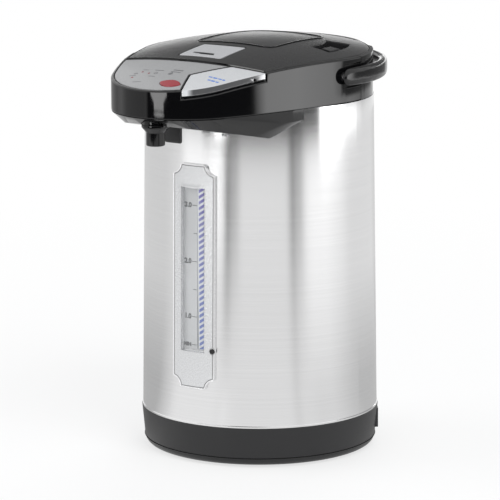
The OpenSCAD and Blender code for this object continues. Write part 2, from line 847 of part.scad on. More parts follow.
module rear_collar() {
    cover_z = lid_z + 1;
    color("#131315") difference() {
        union() {
            difference() {
                union() {
                    intersection() {
                        head_shell_solid();
                        half(split_y, false);
                    }
                    // fixed cover behind the lid's barrel
                    intersection() {
                        dome();
                        translate([0, 0, cover_z]) linear_extrude(height = 60) intersection() {
                            head_plan(1);
                            rect(-big, hinge_y, big, big);
                        }
                    }
                }
                // groove in which the lid's rear edge turns
                intersection() {
                    hinge_cylinder(groove_r, -big / 2, big);
                    translate([0, 0, cover_z]) linear_extrude(height = 60) head_plan(rim_w);
                }
            }
            // lugs of the hinge pin
            for (side = [-1, 1]) intersection() {
                dome(0.8);
                translate([side * (lug_x + lug_w / 2) - lug_w / 2, hinge_y - 4.6, cover_z])
                    cube([lug_w, 12.6, 60]);
            }
        }
        hinge_cylinder(hinge_pin_r + fit, -lug_x - 3, 2 * lug_x + 6);
        handle_recess();
    }
}

chin_top_x = 77;            // half width of the chin where it meets the shell
chin_low_x = 58;            // half width of its flat underside there
chin_round = 10;            // how far the underside lies inside the head's outline
chin_side_z = head_z - 9;

module chin_solid(shrink = 0) {
    x0 = chin_top_x - shrink;
    x1 = chin_low_x - shrink;
    hull() {
        translate([0, 0, head_z - 0.5]) linear_extrude(height = 0.4) intersection() {
            chin_outline(0.3 + shrink);
            rect(-x0, -big, x0, -50);
        }
        translate([0, 0, chin_side_z + shrink]) linear_extrude(height = 0.4) intersection() {
            chin_outline(0.9 + shrink);
            rect(-x0, -78, x0, -50);
        }
        translate([0, -73, chin_z + shrink]) rotate([-chin_slope, 0, 0]) translate([0, 73, 0])
            linear_extrude(height = 0.4) intersection() {
                chin_outline(chin_round + shrink);
                rect(-x1, -big, x1, -70);
            }
    }
}

// Coarser plan of the head for the hull
module chin_outline(inset) {
    translate([0, -nose_c]) circle(r = nose_r - inset, $fn = 72);
    intersection() {
        rect(-rear_r, nose_touch(inset), rear_r, -50);
        intersection_for(side = [-1, 1])
            translate([side * flank_x, flank_y]) circle(r = flank_r - inset, $fn = 360);
    }
}

module chin_cover() {
    lug_z = chin_at(-cup_y) + 1.6;
    color("#161618") difference() {
        chin_solid();
        translate([0, 0, 0.02]) chin_solid(2.2);
        // seat against the steel shell
        cylinder(r = shell_r(chin_z) + 0.15, h = big, $fn = fine);
        translate([0, -nozzle_y, nozzle_flange_z - 8]) cylinder(r = flange_r + 0.2, h = 30);
        // slot of the cup lever
        translate([-8.5, -cup_y - 7, chin_at(-cup_y) - 20]) cube([17, 17, 30]);
        for (side = [-1, 1])
            translate([side * chin_post[0], -chin_post[1], chin_z - 10]) cylinder(r = 1.5, h = 30);
    }
    // lugs of the cup lever's pin
    color("#161618") for (side = [-1, 1]) difference() {
        translate([side * 10.5 - 1.5, -cup_y - 3, lug_z]) cube([3, 6, cup_pin_z + 2.4 - lug_z]);
        translate([side * 10.5 - 3, -cup_y, cup_pin_z]) rotate([0, 90, 0]) cylinder(r = 1.2 + fit, h = 6);
    }
}

module chin_screws() {
    z = chin_at(-chin_post[1]) - 1.9;
    color("#b0b0b0") for (side = [-1, 1]) translate([side * chin_post[0], -chin_post[1], z]) {
        cylinder(r = 2.8, h = 1.2);
        cylinder(r = 1.4, h = 20);
    }
}

module fascia_panel() {
    color("#b4b6b9") intersection() {
        difference() { dome(); dome(panel_t - 0.02); }
        translate([0, 0, head_z]) linear_extrude(height = 60) difference() {
            nose_plan(rim_w + 0.2);
            behind_divider(-wall_gap - 0.3);
            key_side(1);
            translate([button_x, -button_y]) button_plan(0.3);
        }
    }
}

// Leaf shape: what two circles have in common
module button_plan(grow = 0) {
    intersection_for(side = [-1, 1]) translate([0, side * button_off]) circle(r = button_r + grow, $fn = 64);
}

control_top = control_z + 1.6;
switch_h = 3.3;
button_travel = 1.2;
button_flange_z = control_top + 6.6;

module red_button() {
    color("#c8202c") {
        intersection() {
            translate([0, 0, 0.5]) difference() { dome(); dome(3.6); }
            translate([button_x, -button_y, head_z]) linear_extrude(height = 60) button_plan();
        }
        // stem down to its switch
        translate([button_x, -button_y, 0]) intersection() {
            translate([-button_x, button_y, 0]) dome(1);
            union() {
                translate([0, 0, control_top + switch_h + button_travel + gap]) cylinder(r = 2, h = 20);
                translate([0, 0, button_flange_z]) cylinder(r = 4, h = 1);
            }
        }
    }
}

module button_spring() {
    color("#c0c0c0") translate([button_x, -button_y, control_top + 0.1])
        coil(3.3, 0.3, 4, button_flange_z - control_top - 0.2);
}

module control_board() {
    posts = [[-34, -115], [12, -112]];
    color("#2f6b3a") translate([0, 0, control_z]) linear_extrude(height = 1.6) intersection() {
        head_plan(head_wall + 1.5);
        rect(-38, -156, 34, -108);
    }
    // posts up to the panel
    color("#2f6b3a") intersection() {
        dome(panel_t + 0.1);
        for (p = posts) translate([p[0], p[1], control_z + 0.5]) cylinder(r = 2.5, h = 40);
    }
}

key_switch = [30, 121];
key_spring_at = [28, 135];
key_spring_h = 11.6;

module panel_switches() {
    color("#303033") {
        translate([button_x - 1.9, -button_y - 1.9, control_top]) cube([3.8, 3.8, switch_h]);
        translate([key_switch[0] - 3, -key_switch[1] - 3, control_top]) cube([6, 6, 3]);
        // lamps under the panel
        for (x = [-24, -14, -4]) translate([x, -128, control_top]) cylinder(r = 1.5, h = 4);
    }
}

module dispense_key() {
    skin = 2;
    skirt = 1.9;
    knuckle_w = key_pin_len - 6 - 2 * gap;
    color("#b4b6b9") difference() {
        union() {
            // top
            intersection() {
                difference() { dome(); dome(skin); }
                translate([0, 0, head_z]) linear_extrude(height = 60) key_plan();
            }
            // skirt
            intersection() {
                difference() { dome(); dome(key_t); }
                translate([0, 0, head_z]) linear_extrude(height = 60) difference() {
                    key_plan();
                    head_plan(0.2 + skirt);
                }
            }
            // knuckle round the pin
            translate([key_pin_x + 3 + gap, -key_pin_y, key_pin_z]) rotate([0, 90, 0])
                cylinder(r = 2.6, h = knuckle_w);
            intersection() {
                dome(1);
                translate([key_pin_x + 3 + gap, -key_pin_y - 2.6, key_pin_z]) cube([knuckle_w, 5.2, 20]);
            }
            intersection() {
                dome(1);
                union() {
                    // plunger over the switch
                    translate([key_switch[0], -key_switch[1], control_top + 3 + 0.9])
                        cylinder(r = 1.5, h = 30);
                    // seat of the spring
                    translate([key_spring_at[0], -key_spring_at[1], control_top + key_spring_h])
                        cylinder(r = 4, h = 30);
                }
            }
        }
        translate([20, -key_pin_y, key_pin_z]) rotate([0, 90, 0]) cylinder(r = 1.5 + fit, h = 60);
    }
}

module key_plan() {
    difference() {
        intersection() { head_plan(0.2); key_side(0); }
        behind_divider(-wall_gap - 0.5);
    }
}

module key_pin() {
    color("#c0c0c0") translate([key_pin_x, -key_pin_y, key_pin_z]) rotate([0, 90, 0])
        cylinder(r = 1.5, h = key_pin_len);
}

module key_spring() {
    color("#c0c0c0") translate([key_spring_at[0], -key_spring_at[1], control_top + 0.1])
        coil(3, 0.35, 5, key_spring_h - 0.2);
}

module cup_lever() {
    lo = chin_at(-cup_y) - 10;
    color("#131315") difference() {
        union() {
            translate([-7, -cup_y - 2, lo]) cube([14, 4, cup_pin_z - lo]);
            translate([-7, -cup_y, lo]) rotate([0, 90, 0]) cylinder(r = 2, h = 14);
            translate([-8, -cup_y, cup_pin_z]) rotate([0, 90, 0]) cylinder(r = 2.8, h = 16);
            // arm that presses the switch
            translate([-8, -cup_y - 1.5, cup_pin_z]) cube([3.5, 3, 6]);
        }
        translate([-10, -cup_y, cup_pin_z]) rotate([0, 90, 0]) cylinder(r = 1.2 + fit, h = 20);
    }
}

module cup_lever_pin() {
    color("#c0c0c0") translate([-12, -cup_y, cup_pin_z]) rotate([0, 90, 0]) cylinder(r = 1.2, h = 24);
}

module cup_switch() {
    front = cup_y + 10.5;
    lo = chin_at(-front) + 2.6;
    color("#303033") translate([-12, -front, lo]) cube([8, 7.3, cup_pin_z + 6 - lo]);
}

// ---------- lid ----------

lid_t = 2.8;

module lid_plan(inset = 0) {
    intersection() {
        head_plan(rim_w + seam + inset);
        behind_divider(inset);
        rect(-big, -big, big, hinge_y - hinge_back - inset);
    }
}

module plate_plan(grow = 0) {
    round_rect(-plate_hw - grow, -plate_front - grow, plate_hw + grow, plate_rear + grow, 10 + grow);
}

module lever_plan(front = 0, side = 0, rear = 0) {
    round_rect(-lever_w / 2 - side, -lever_rear - lever_d - front,
        lever_w / 2 + side, -lever_rear + rear, 2.5);
}

lock_in = 54;
lock_out = 73;

// Arc-shaped pocket beside the pump plate
module pocket_plan(grow = 0) {
    difference() {
        circle(r = lock_out + grow, $fn = fine);
        circle(r = lock_in - grow, $fn = fine);
        rotate([0, 0, 31]) translate([-big, grow]) square([2 * big, big]);
        rotate([0, 0, -7]) translate([-big, -big - grow]) square([2 * big, big]);
        translate([-big, -big]) square([big, 2 * big]);
    }
}

lever_pin_y = -lever_rear - 2.6;
lever_pin_r = 1;

module lever_axis(r, half_w) {
    translate([-half_w, lever_pin_y, lever_pin_z]) rotate([0, 90, 0]) cylinder(r = r, h = 2 * half_w);
}

latch_nose = lid_front + seam - gap;
latch_len = 26;

module lid_outer() {
    rib = latch_w / 2 + 2.3;
    color("#131315") difference() {
        union() {
            intersection() {
                dome();
                translate([0, 0, lid_z]) linear_extrude(height = 60) lid_plan();
            }
            intersection() {
                dome();
                union() {
                    hinge_cylinder(barrel_r, -lug_x + gap, 2 * (lug_x - gap));
                    translate([-lug_x + gap, hinge_y - hinge_back - 3, hinge_z - barrel_r])
                        cube([2 * (lug_x - gap), hinge_back + 3, 2 * barrel_r]);
                }
            }
        }
        // hollow underneath, with ribs round the wells
        intersection() {
            dome(lid_t);
            translate([0, 0, lid_z - 1]) linear_extrude(height = 60) difference() {
                lid_plan(lid_t);
                plate_plan(seam + 2);
                lever_plan(2.4, 2.4, 2.8);
                pocket_plan(1.8);
            }
        }
        // hollow below the lever's and the lock's pockets
        intersection() {
            dome(11);
            translate([0, 0, lid_z - 1]) linear_extrude(height = 60) difference() {
                lever_plan(2.4, 2.4, 2.8);
                rect(-rib, -big, rib, -lever_rear - 12);
            }
        }
        intersection() {
            dome(8);
            translate([0, 0, lid_z - 1]) linear_extrude(height = 60) difference() {
                pocket_plan(1.8);
                plate_plan(seam + 2);
            }
        }
        // well of the pump plate
        translate([0, 0, lid_z - 1]) linear_extrude(height = 60) plate_plan(seam);
        // pocket of the lid lever
        intersection() {
            translate([0, 0, lid_z]) linear_extrude(height = 60) lever_plan(seam, seam, 0.8);
            difference() { translate([0, 0, 60]) dome(); dome(8.6); }
        }
        // channel of the latch
        translate([-latch_w / 2 - gap, -lid_front - 3, latch_z - 2.3]) cube([latch_w + 2 * gap, 36, 4.6]);
        // pocket of the pump lock
        intersection() {
            translate([0, 0, lid_z + 3]) linear_extrude(height = 60) pocket_plan();
            difference() { translate([0, 0, 60]) dome(); dome(6); }
        }
        hinge_cylinder(hinge_pin_r + fit, -big / 2, big);
        lever_axis(lever_pin_r + fit, lever_w / 2 + 2);
    }
}

plug_r = pot_flange_r - 4.2;
cup_r = 31;
press_z = peak_z - 5.2;     // where the pump plate bears on the bellows
bellows_min = 15.2;         // height of the bellows when pressed down
cup_floor_z = press_z - pump_travel - bellows_min;

module lid_inner() {
    color("#d9dadb") difference() {
        union() {
            translate([0, 0, lid_z - 2.4]) linear_extrude(height = 2.3) lid_plan(0.4);
            translate([0, 0, cup_floor_z - 1.8])
                cylinder(r = plug_r, h = lid_z - cup_floor_z + 1.7, $fn = fine);
        }
        // hollow of the plug, round the bellows' cup
        translate([0, 0, cup_floor_z]) difference() {
            cylinder(r = plug_r - 9, h = 40, $fn = fine);
            translate([0, 0, -1]) cylinder(r = cup_r + 2, h = lid_z - 0.1 - cup_floor_z + 1);
        }
        translate([0, 0, cup_floor_z]) cylinder(r = cup_r, h = 40, $fn = fine);
        // air holes into the pot
        for (a = [0:60:300]) rotate([0, 0, a]) translate([8, 0, 0]) cylinder(r = 1.5, h = big);
    }
}

module lid_gasket() {
    lo = pot_top_z + 0.6;
    color("#ececea") translate([0, 0, lo]) ring(plug_r - 0.2, pot_r - 6, cup_floor_z - 1.9 - lo);
}

module hinge_pin() {
    color("#c8c8c8") hinge_cylinder(hinge_pin_r, -lug_x - 3, 2 * lug_x + 6);
}

module lid_lever() {
    heel = 3.1;
    color("#b4b6b9") difference() {
        union() {
            intersection() {
                difference() { dome(); dome(2.6); }
                translate([0, 0, lid_z]) linear_extrude(height = 60) lever_plan();
                union() {
                    translate([-big / 2, -big, 0]) cube([big, big + lever_pin_y, big]);
                    lever_axis(heel, lever_w / 2);
                }
            }
            // knuckle
            intersection() {
                dome(0.5);
                union() {
                    lever_axis(2.2, lever_w / 2 - 0.4);
                    translate([-lever_w / 2 + 0.4, lever_pin_y - 2.2, lever_pin_z])
                        cube([lever_w - 0.8, 2.2, 4]);
                }
            }
        }
        lever_axis(lever_pin_r + fit, big / 2);
        // finger groove
        intersection() {
            translate([-10, -lever_rear - lever_d + 6, lid_z]) cube([20, 2, 60]);
            difference() { translate([0, 0, 10]) dome(); dome(1); }
        }
    }
}

module lever_pin() {
    color("#c8c8c8") lever_axis(lever_pin_r, lever_w / 2 + 1.9);
}

module lid_latch() {
    color("#cfcfd1") difference() {
        translate([-latch_w / 2, -latch_nose, latch_z - 2]) cube([latch_w, latch_len, 4]);
        // slot that the lever pulls it back by
        translate([-2.5, -latch_nose + 12, latch_z - 3]) cube([5, 7, 6]);
    }
}

module pump_plate() {
    stem_r = 9;
    color("#131315") {
        intersection() {
            difference() { dome(); dome(2.6); }
            translate([0, 0, lid_z]) linear_extrude(height = 60) plate_plan();
        }
        // skirt
        intersection() {
            difference() { dome(1); dome(6); }
            translate([0, 0, lid_z]) linear_extrude(height = 60) difference() {
                plate_plan();
                plate_plan(-2);
            }
        }
        intersection() {
            dome(1);
            union() {
                translate([0, 0, peak_z - 12]) ring(stem_r, stem_r - 2, 12);
                translate([0, 0, press_z]) ring(28, 22, 6);
            }
        }
    }
}

bellows_lo = cup_floor_z + 0.1;
bellows_hi = press_z - 0.1;

module pump_bellows() {
    folds = 5;
    pitch = (bellows_hi - bellows_lo) / folds;
    r_out = cup_r - 1.5;
    r_in = r_out - 5;
    skin = 1.1;
    outer = [for (i = [0:folds - 1])
        each [[r_in, bellows_lo + i * pitch], [r_out, bellows_lo + (i + 0.5) * pitch]]];
    inner = [for (i = [folds - 1:-1:0]) each
        [[r_out - skin, bellows_lo + (i + 0.5) * pitch], [r_in - skin, bellows_lo + i * pitch]]];
    color("#e6e2da") rotate_extrude()
        polygon(concat(outer, [[r_in, bellows_hi], [r_in - skin, bellows_hi]], inner));
}

module pump_spring() {
    r = 14;
    top = peak_z - r * r / (2 * dome_rx) - 2.6;
    color("#c8c8c8") translate([0, 0, bellows_lo + 0.2]) coil(r, 0.8, 6, top - bellows_lo - 0.5);
}

module pump_lock() {
    color("#1d1d1f") intersection() {
        translate([0, 0, peak_z - 20]) linear_extrude(height = 40) difference() {
            circle(r = lock_out - 1, $fn = fine);
            circle(r = lock_out - 9, $fn = fine);
            rotate([0, 0, 6]) translate([-big, 0]) square([2 * big, big]);
            rotate([0, 0, -5]) translate([-big, -big]) square([2 * big, big]);
            translate([-big, -big]) square([big, 2 * big]);
        }
        difference() { dome(-0.6); dome(5.7); }
    }
}

// ---------- handle ----------

arm_in = rear_r + gap;      // inner face of the handle's arms
handle_r = arm_in + handle_t;

module handle_plan() {
    difference() {
        translate([0, handle_y]) circle(r = handle_r, $fn = fine);
        translate([0, handle_y]) circle(r = arm_in, $fn = fine);
        rect(-arm_in, -big, arm_in, handle_y);
        rect(-big, -big, big, -pivot_y);
    }
}

module handle() {
    r = handle_h / 2;
    color("#1a1a1c") difference() {
        union() {
            translate([0, 0, pivot_z - r]) linear_extrude(height = handle_h) handle_plan();
            // round front ends
            intersection() {
                translate([0, handle_y, 0]) cylinder(r = handle_r, h = big, $fn = fine);
                pivot_axis(arm_in) cylinder(r = r, h = 12);
            }
        }
        pivot_axis(80) cylinder(r = pivot_r + fit, h = handle_r - 80 - 3.6);
    }
}

module handle_pivots() {
    in = rear_r - 3.9;
    color("#c8c8c8") pivot_axis(in) cylinder(r = pivot_r, h = handle_r - 3.9 - in);
}

base_housing();
bottom_cover();
anti_slip_ring();
bottom_screws();
inlet_socket();
inlet_pins();
outer_shell();
gauge_frame();
gauge_window();
level_scale();
gauge_screw();
inner_pot();
pot_seal();
pot_support_ring();
heater_plate();
thermostats();
pump_housing();
pump_impeller();
pump_motor();
motor_bracket();
suction_hose();
lower_hose();
level_tube();
spout_hose();
spout_nozzle();
power_board();
board_components();
wire_loom();
head_housing();
rear_collar();
chin_cover();
chin_screws();
fascia_panel();
control_board();
panel_switches();
dispense_key();
key_pin();
key_spring();
red_button();
button_spring();
cup_lever();
cup_lever_pin();
cup_switch();
lid_outer();
lid_inner();
lid_gasket();
hinge_pin();
lid_lever();
lever_pin();
lid_latch();
pump_plate();
pump_bellows();
pump_spring();
pump_lock();
handle();
handle_pivots();
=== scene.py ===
"""Looks of an electric thermo pot: finishes, printed marks, softened edges, studio and camera."""

import logging
import math
from contextlib import contextmanager
from dataclasses import dataclass, field
from enum import Enum
from typing import Callable, Iterator, Mapping, Optional, Sequence, Union

import bpy
from mathutils import Matrix, Vector


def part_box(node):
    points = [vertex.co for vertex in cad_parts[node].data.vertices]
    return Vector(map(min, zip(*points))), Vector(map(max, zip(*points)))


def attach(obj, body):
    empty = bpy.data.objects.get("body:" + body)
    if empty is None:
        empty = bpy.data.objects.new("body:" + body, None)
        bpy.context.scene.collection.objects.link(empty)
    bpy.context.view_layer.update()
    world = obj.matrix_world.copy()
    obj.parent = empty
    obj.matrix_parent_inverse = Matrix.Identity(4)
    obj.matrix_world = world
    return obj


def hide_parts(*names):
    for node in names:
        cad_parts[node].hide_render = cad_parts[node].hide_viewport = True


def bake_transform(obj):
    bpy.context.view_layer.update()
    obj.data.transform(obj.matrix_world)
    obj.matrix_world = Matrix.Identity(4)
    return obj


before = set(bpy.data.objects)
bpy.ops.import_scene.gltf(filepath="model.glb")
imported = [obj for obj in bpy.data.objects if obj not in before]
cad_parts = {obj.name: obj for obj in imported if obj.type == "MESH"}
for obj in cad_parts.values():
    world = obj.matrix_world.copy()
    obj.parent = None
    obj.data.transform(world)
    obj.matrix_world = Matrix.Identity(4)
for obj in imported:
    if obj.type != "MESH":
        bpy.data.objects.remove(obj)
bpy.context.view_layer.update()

log = logging.getLogger("thermo_pot")

Colour = tuple[float, float, float]
Place = tuple[float, float, float]
Number = Union[float, "Signal"]

MM = 0.001
FACING = 0.9  # a face looks along a direction when its normal's share of it is larger
SMOOTH_BELOW = 40.0  # degrees between faces that are shaded as one


# ---------------------------------------------------------------- shader maths


class Signal:
    """A number socket of a node tree, with arithmetic that adds Math nodes."""

    def __init__(self, owner: "NodeTree", socket: bpy.types.NodeSocket) -> None:
        """Keeps the tree and the socket.

        Args:
            owner: The tree that the socket belongs to.
            socket: The output socket with the number.
        """
        self.owner = owner
        self.socket = socket

    def maths(self, operation: str, first: Number, second: Number = 0.0, clamp: bool = False) -> "Signal":
        """Adds one Math node.

        Args:
            operation: The node's operation.
            first: The first number or signal.
            second: The second number or signal.
            clamp: Whether the result is kept between 0 and 1.

        Returns:
            The result as a signal.
        """
        settings = {"operation": operation, "use_clamp": clamp}
        made = self.owner.node("ShaderNodeMath", settings, {0: first, 1: second})
        return Signal(self.owner, made.outputs[0])

    def __add__(self, other: Number) -> "Signal":
        """Returns self + other."""
        return self.maths("ADD", self, other)

    def __radd__(self, other: Number) -> "Signal":
        """Returns other + self."""
        return self.maths("ADD", other, self)

    def __sub__(self, other: Number) -> "Signal":
        """Returns self - other."""
        return self.maths("SUBTRACT", self, other)

    def __rsub__(self, other: Number) -> "Signal":
        """Returns other - self."""
        return self.maths("SUBTRACT", other, self)

    def __mul__(self, other: Number) -> "Signal":
        """Returns self * other."""
        return self.maths("MULTIPLY", self, other)

    def __rmul__(self, other: Number) -> "Signal":
        """Returns other * self."""
        return self.maths("MULTIPLY", other, self)

    def __truediv__(self, other: Number) -> "Signal":
        """Returns self / other."""
        return self.maths("DIVIDE", self, other)

    def __rtruediv__(self, other: Number) -> "Signal":
        """Returns other / self."""
        return self.maths("DIVIDE", other, self)

    def __pow__(self, other: Number) -> "Signal":
        """Returns self to the power of other."""
        return self.maths("POWER", self, other)

    def most(self, other: Number) -> "Signal":
        """Returns the larger of self and other."""
        return self.maths("MAXIMUM", self, other)

    def least(self, other: Number) -> "Signal":
        """Returns the smaller of self and other."""
        return self.maths("MINIMUM", self, other)

    def above(self, level: Number) -> "Signal":
        """Returns 1 where self is above level, else 0."""
        return self.maths("GREATER_THAN", self, level)

    def fraction(self) -> "Signal":
        """Returns the part of self after the decimal point."""
        return self.maths("FRACT", self)

    def absolute(self) -> "Signal":
        """Returns self without its sign."""
        return self.maths("ABSOLUTE", self)

    def clamped(self) -> "Signal":
        """Returns self kept between 0 and 1."""
        return self.maths("ADD", self, 0.0, clamp=True)

    def between(self, low: float, high: float) -> "Signal":
        """Returns self mapped from low..high to 0..1 and clamped."""
        return ((self - low) * (1.0 / (high - low))).clamped()

    def swing(self, width: float) -> "Signal":
        """Returns self mapped from 0..1 to a width around 0."""
        return (self - 0.5) * width

    def hypot(self, other: "Signal") -> "Signal":
        """Returns the length of the diagonal of self and other."""
        return (self * self + other * other) ** 0.5


class NodeTree:
    """The nodes of a material or of the surroundings."""

    def __init__(self, tree: bpy.types.NodeTree) -> None:
        """Takes over a tree and empties it.

        Args:
            tree: The tree.
        """
        self.tree = tree
        self.tree.nodes.clear()

    def node(
        self,
        kind: str,
        settings: Optional[Mapping[str, object]] = None,
        sockets: Optional[Mapping[Union[str, int], object]] = None,
    ) -> bpy.types.Node:
        """Adds a node.

        Args:
            kind: The node's type.
            settings: The node's own settings.
            sockets: Values or links of its input sockets, by name or number.

        Returns:
            The node.
        """
        made = self.tree.nodes.new(kind)
        for key, value in (settings or {}).items():
            setattr(made, key, value)
        for key, value in (sockets or {}).items():
            self.feed(made.inputs[key], value)
        return made

    def feed(self, socket: bpy.types.NodeSocket, value: object) -> None:
        """Sets a socket to a value, or links it to a signal, socket or node.

        Args:
            socket: The input socket.
            value: A number, colour, vector, Signal, socket or node.
        """
        if isinstance(value, Signal):
            self.tree.links.new(value.socket, socket)
        elif isinstance(value, bpy.types.NodeSocket):
            self.tree.links.new(value, socket)
        elif isinstance(value, bpy.types.Node):
            self.tree.links.new(value.outputs[0], socket)
        elif isinstance(value, tuple) and len(value) == 3 and len(socket.default_value) == 4:
            socket.default_value = (*value, 1.0)
        else:
            socket.default_value = value


class Paint(NodeTree):
    """A material and the nodes that it is made of."""

    def __init__(self, name: str) -> None:
        """Makes an empty material with its shader and output.

        Args:
            name: The material's name.
        """
        self.material = bpy.data.materials.new(name)
        self.material.use_nodes = True
        super().__init__(self.material.node_tree)
        self.output = self.node("ShaderNodeOutputMaterial")
        self.shader = self.node("ShaderNodeBsdfPrincipled")
        self.show(self.shader)

    def show(self, made: bpy.types.Node) -> None:
        """Puts a shader node on the surface."""
        self.feed(self.output.inputs["Surface"], made)

    def glow(self, level: object) -> bpy.types.Node:
        """Returns a node that gives off light of a level or colour."""
        return self.node("ShaderNodeEmission", {}, {"Color": level, "Strength": 1.0})

    def set(self, **values: object) -> None:
        """Sets the shader's sockets, named with underscores for spaces.

        Args:
            values: The value or link of each socket.
        """
        names = {s.name.lower().replace(" ", "_"): s for s in self.shader.inputs}
        for key, value in values.items():
            self.feed(names[key], value)

    def tone(self) -> bpy.types.NodeSocket:
        """Returns what the shader's colour is linked to."""
        return self.shader.inputs["Base Color"].links[0].from_socket

    def place(self, stretch: Place = (1.0, 1.0, 1.0)) -> bpy.types.NodeSocket:
        """Returns the object's coordinates, scaled by stretch."""
        coords = self.node("ShaderNodeTexCoord").outputs["Object"]
        return self.node("ShaderNodeMapping", {}, {"Vector": coords, "Scale": stretch}).outputs[0]

    def axes(self) -> tuple[Signal, Signal, Signal]:
        """Returns the object's X, Y and Z as signals, in metres."""
        split = self.node("ShaderNodeSeparateXYZ", {}, {0: self.place()})
        return tuple(Signal(self, split.outputs[i]) for i in range(3))

    @staticmethod
    def azimuth(x: Signal, y: Signal) -> Signal:
        """Returns the direction in plan in degrees, 0 to the front and 90 to the right."""
        return x.maths("ARCTAN2", x, y * -1.0) * (180.0 / math.pi)

    def noise(self, scale: float, detail: float = 2.0, stretch: Place = (1.0, 1.0, 1.0)) -> Signal:
        """Adds a noise pattern.

        Args:
            scale: Cells per metre.
            detail: Octaves.
            stretch: How much each axis is scaled first.

        Returns:
            The noise, from 0 to 1.
        """
        sockets = {"Vector": self.place(stretch), "Scale": scale, "Detail": detail}
        return Signal(self, self.node("ShaderNodeTexNoise", {}, sockets).outputs[0])

    def cells(self, scale: float) -> Signal:
        """Returns the distance to the middle of small cells, scale of them per metre."""
        made = self.node("ShaderNodeTexVoronoi", {}, {"Vector": self.place(), "Scale": scale})
        return Signal(self, made.outputs["Distance"])

    def mixed(self, factor: Number, first: object, second: object) -> bpy.types.NodeSocket:
        """Mixes two colours.

        Args:
            factor: 0 for the first colour, 1 for the second.
            first: The first colour or its socket.
            second: The second colour or its socket.

        Returns:
            The mixed colour.
        """
        sockets = {"Factor": factor, 6: first, 7: second}
        return self.node("ShaderNodeMix", {"data_type": "RGBA"}, sockets).outputs[2]

    def shaded(self, factor: Signal, colour: Colour, low: float, high: float) -> bpy.types.NodeSocket:
        """Returns a colour, times low where the factor is 0 and times high where it is 1."""
        return self.mixed(factor, shade(colour, low), shade(colour, high))

    def bump(self, height: Signal, depth: float) -> bpy.types.NodeSocket:
        """Returns a normal raised by height, depth metres deep."""
        return self.node("ShaderNodeBump", {}, {"Height": height, "Distance": depth}).outputs[0]


def shade(colour: Colour, factor: float) -> Colour:
    """Returns the colour made lighter or darker by a factor."""
    return tuple(min(1.0, c * factor) for c in colour)


# ---------------------------------------------------------------- shapes taken from the CAD


@dataclass(frozen=True)
class DomeSurface:
    """The domed top of the head."""

    peak: float = 336.5 * MM
    across: float = 390.0 * MM
    along: float = 545.0 * MM
    centre_y: float = -3.0 * MM

    def height(self, x: float, y: float) -> float:
        """Returns the height of the dome above a point."""
        ring = self.along - self.across + math.sqrt(self.across**2 - x * x)
        return self.peak - self.along + math.sqrt(ring**2 - (y - self.centre_y) ** 2)


@dataclass(frozen=True)
class ShellSurface:
    """The tapering side of the steel shell."""

    low: float = 33.0 * MM
    high: float = 290.5 * MM
    bottom_radius: float = 96.3 * MM
    top_radius: float = 92.9 * MM

    def radius(self, height: float) -> float:
        """Returns the shell's radius at a height."""
        share = (height - self.low) / (self.high - self.low)
        return self.bottom_radius + (self.top_radius - self.bottom_radius) * share


@dataclass(frozen=True)
class GaugeOutline:
    """Outline of the gauge's frame, an upright plate with scalloped corners."""

    half_width: float
    low: float
    high: float
    scallop: float = 7.9 * MM
    chamfer: float = 9.0 * MM

    @classmethod
    def of_node(cls, node: str) -> "GaugeOutline":
        """Returns the outline of a CAD node."""
        low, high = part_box(node)
        return cls(high.x, low.z, high.z)

    def inside(self, x: Signal, z: Signal) -> Signal:
        """Measures how far inside the outline a place lies.

        Args:
            x: The place's distance from the middle.
            z: The place's height.

        Returns:
            The distance to the outline in metres.
        """
        side = self.half_width - x.absolute()
        end = (z - self.low).least(self.high - z)
        corner = side.hypot(end) - self.scallop
        slant = (side + end - self.chamfer) * math.sqrt(0.5)
        return side.least(end).least(corner).least(slant)


@dataclass(frozen=True)
class PlanEdge:
    """A straight edge in plan: a point on it, and the direction of its inner side in degrees."""

    x: float
    y: float
    inward: float

    def inside(self, x: Signal, y: Signal) -> Signal:
        """Returns how far inside the edge a place lies."""
        turn = math.radians(self.inward)
        return (x - self.x) * math.cos(turn) + (y - self.y) * math.sin(turn)


DOME = DomeSurface()
SHELL = ShellSurface()
GAUGE = GaugeOutline.of_node("gauge_frame")


# ---------------------------------------------------------------- finishes


@dataclass(frozen=True)
class Finish:
    """What a surface is made of and how it is worked."""

    name: str
    colour: Colour

    def paint(self) -> Paint:
        """Makes the material.

        Returns:
            The material's nodes.
        """
        raise NotImplementedError

    def material(self) -> bpy.types.Material:
        """Returns the finish's material, made once."""
        found = bpy.data.materials.get(self.label)
        return found if found else self.paint().material

    @property
    def label(self) -> str:
        """Returns the material's name in Blender."""
        return "finish_" + self.name


@dataclass(frozen=True)
class MouldedPlastic(Finish):
    """Injection-moulded plastic with a fine grain, uneven gloss and faint handling marks."""

    roughness: float = 0.35
    grain: float = 1800.0
    grain_depth: float = 0.00002
    specular: float = 0.5
    coat: float = 0.0
    clouds: float = 14.0
    marks: float = 60.0

    def paint(self) -> Paint:
        """Makes grain, cloudy gloss and hairline marks.

        Returns:
            The material's nodes.
        """
        paint = Paint(self.label)
        cloud = paint.noise(self.clouds, 3.0)
        grain = paint.noise(self.grain)
        hair = paint.noise(self.marks, 4.0, (1.0, 6.0, 3.0)).between(0.62, 0.72)
        gloss = self.roughness + cloud.swing(0.22 * self.roughness) + grain.swing(0.04) + hair * 0.03
        paint.set(
            base_color=paint.shaded(cloud, self.colour, 0.88, 1.14), roughness=gloss.clamped(),
            specular_ior_level=self.specular, coat_weight=self.coat, coat_roughness=0.05,
            normal=paint.bump(grain, self.grain_depth),
        )
        return paint


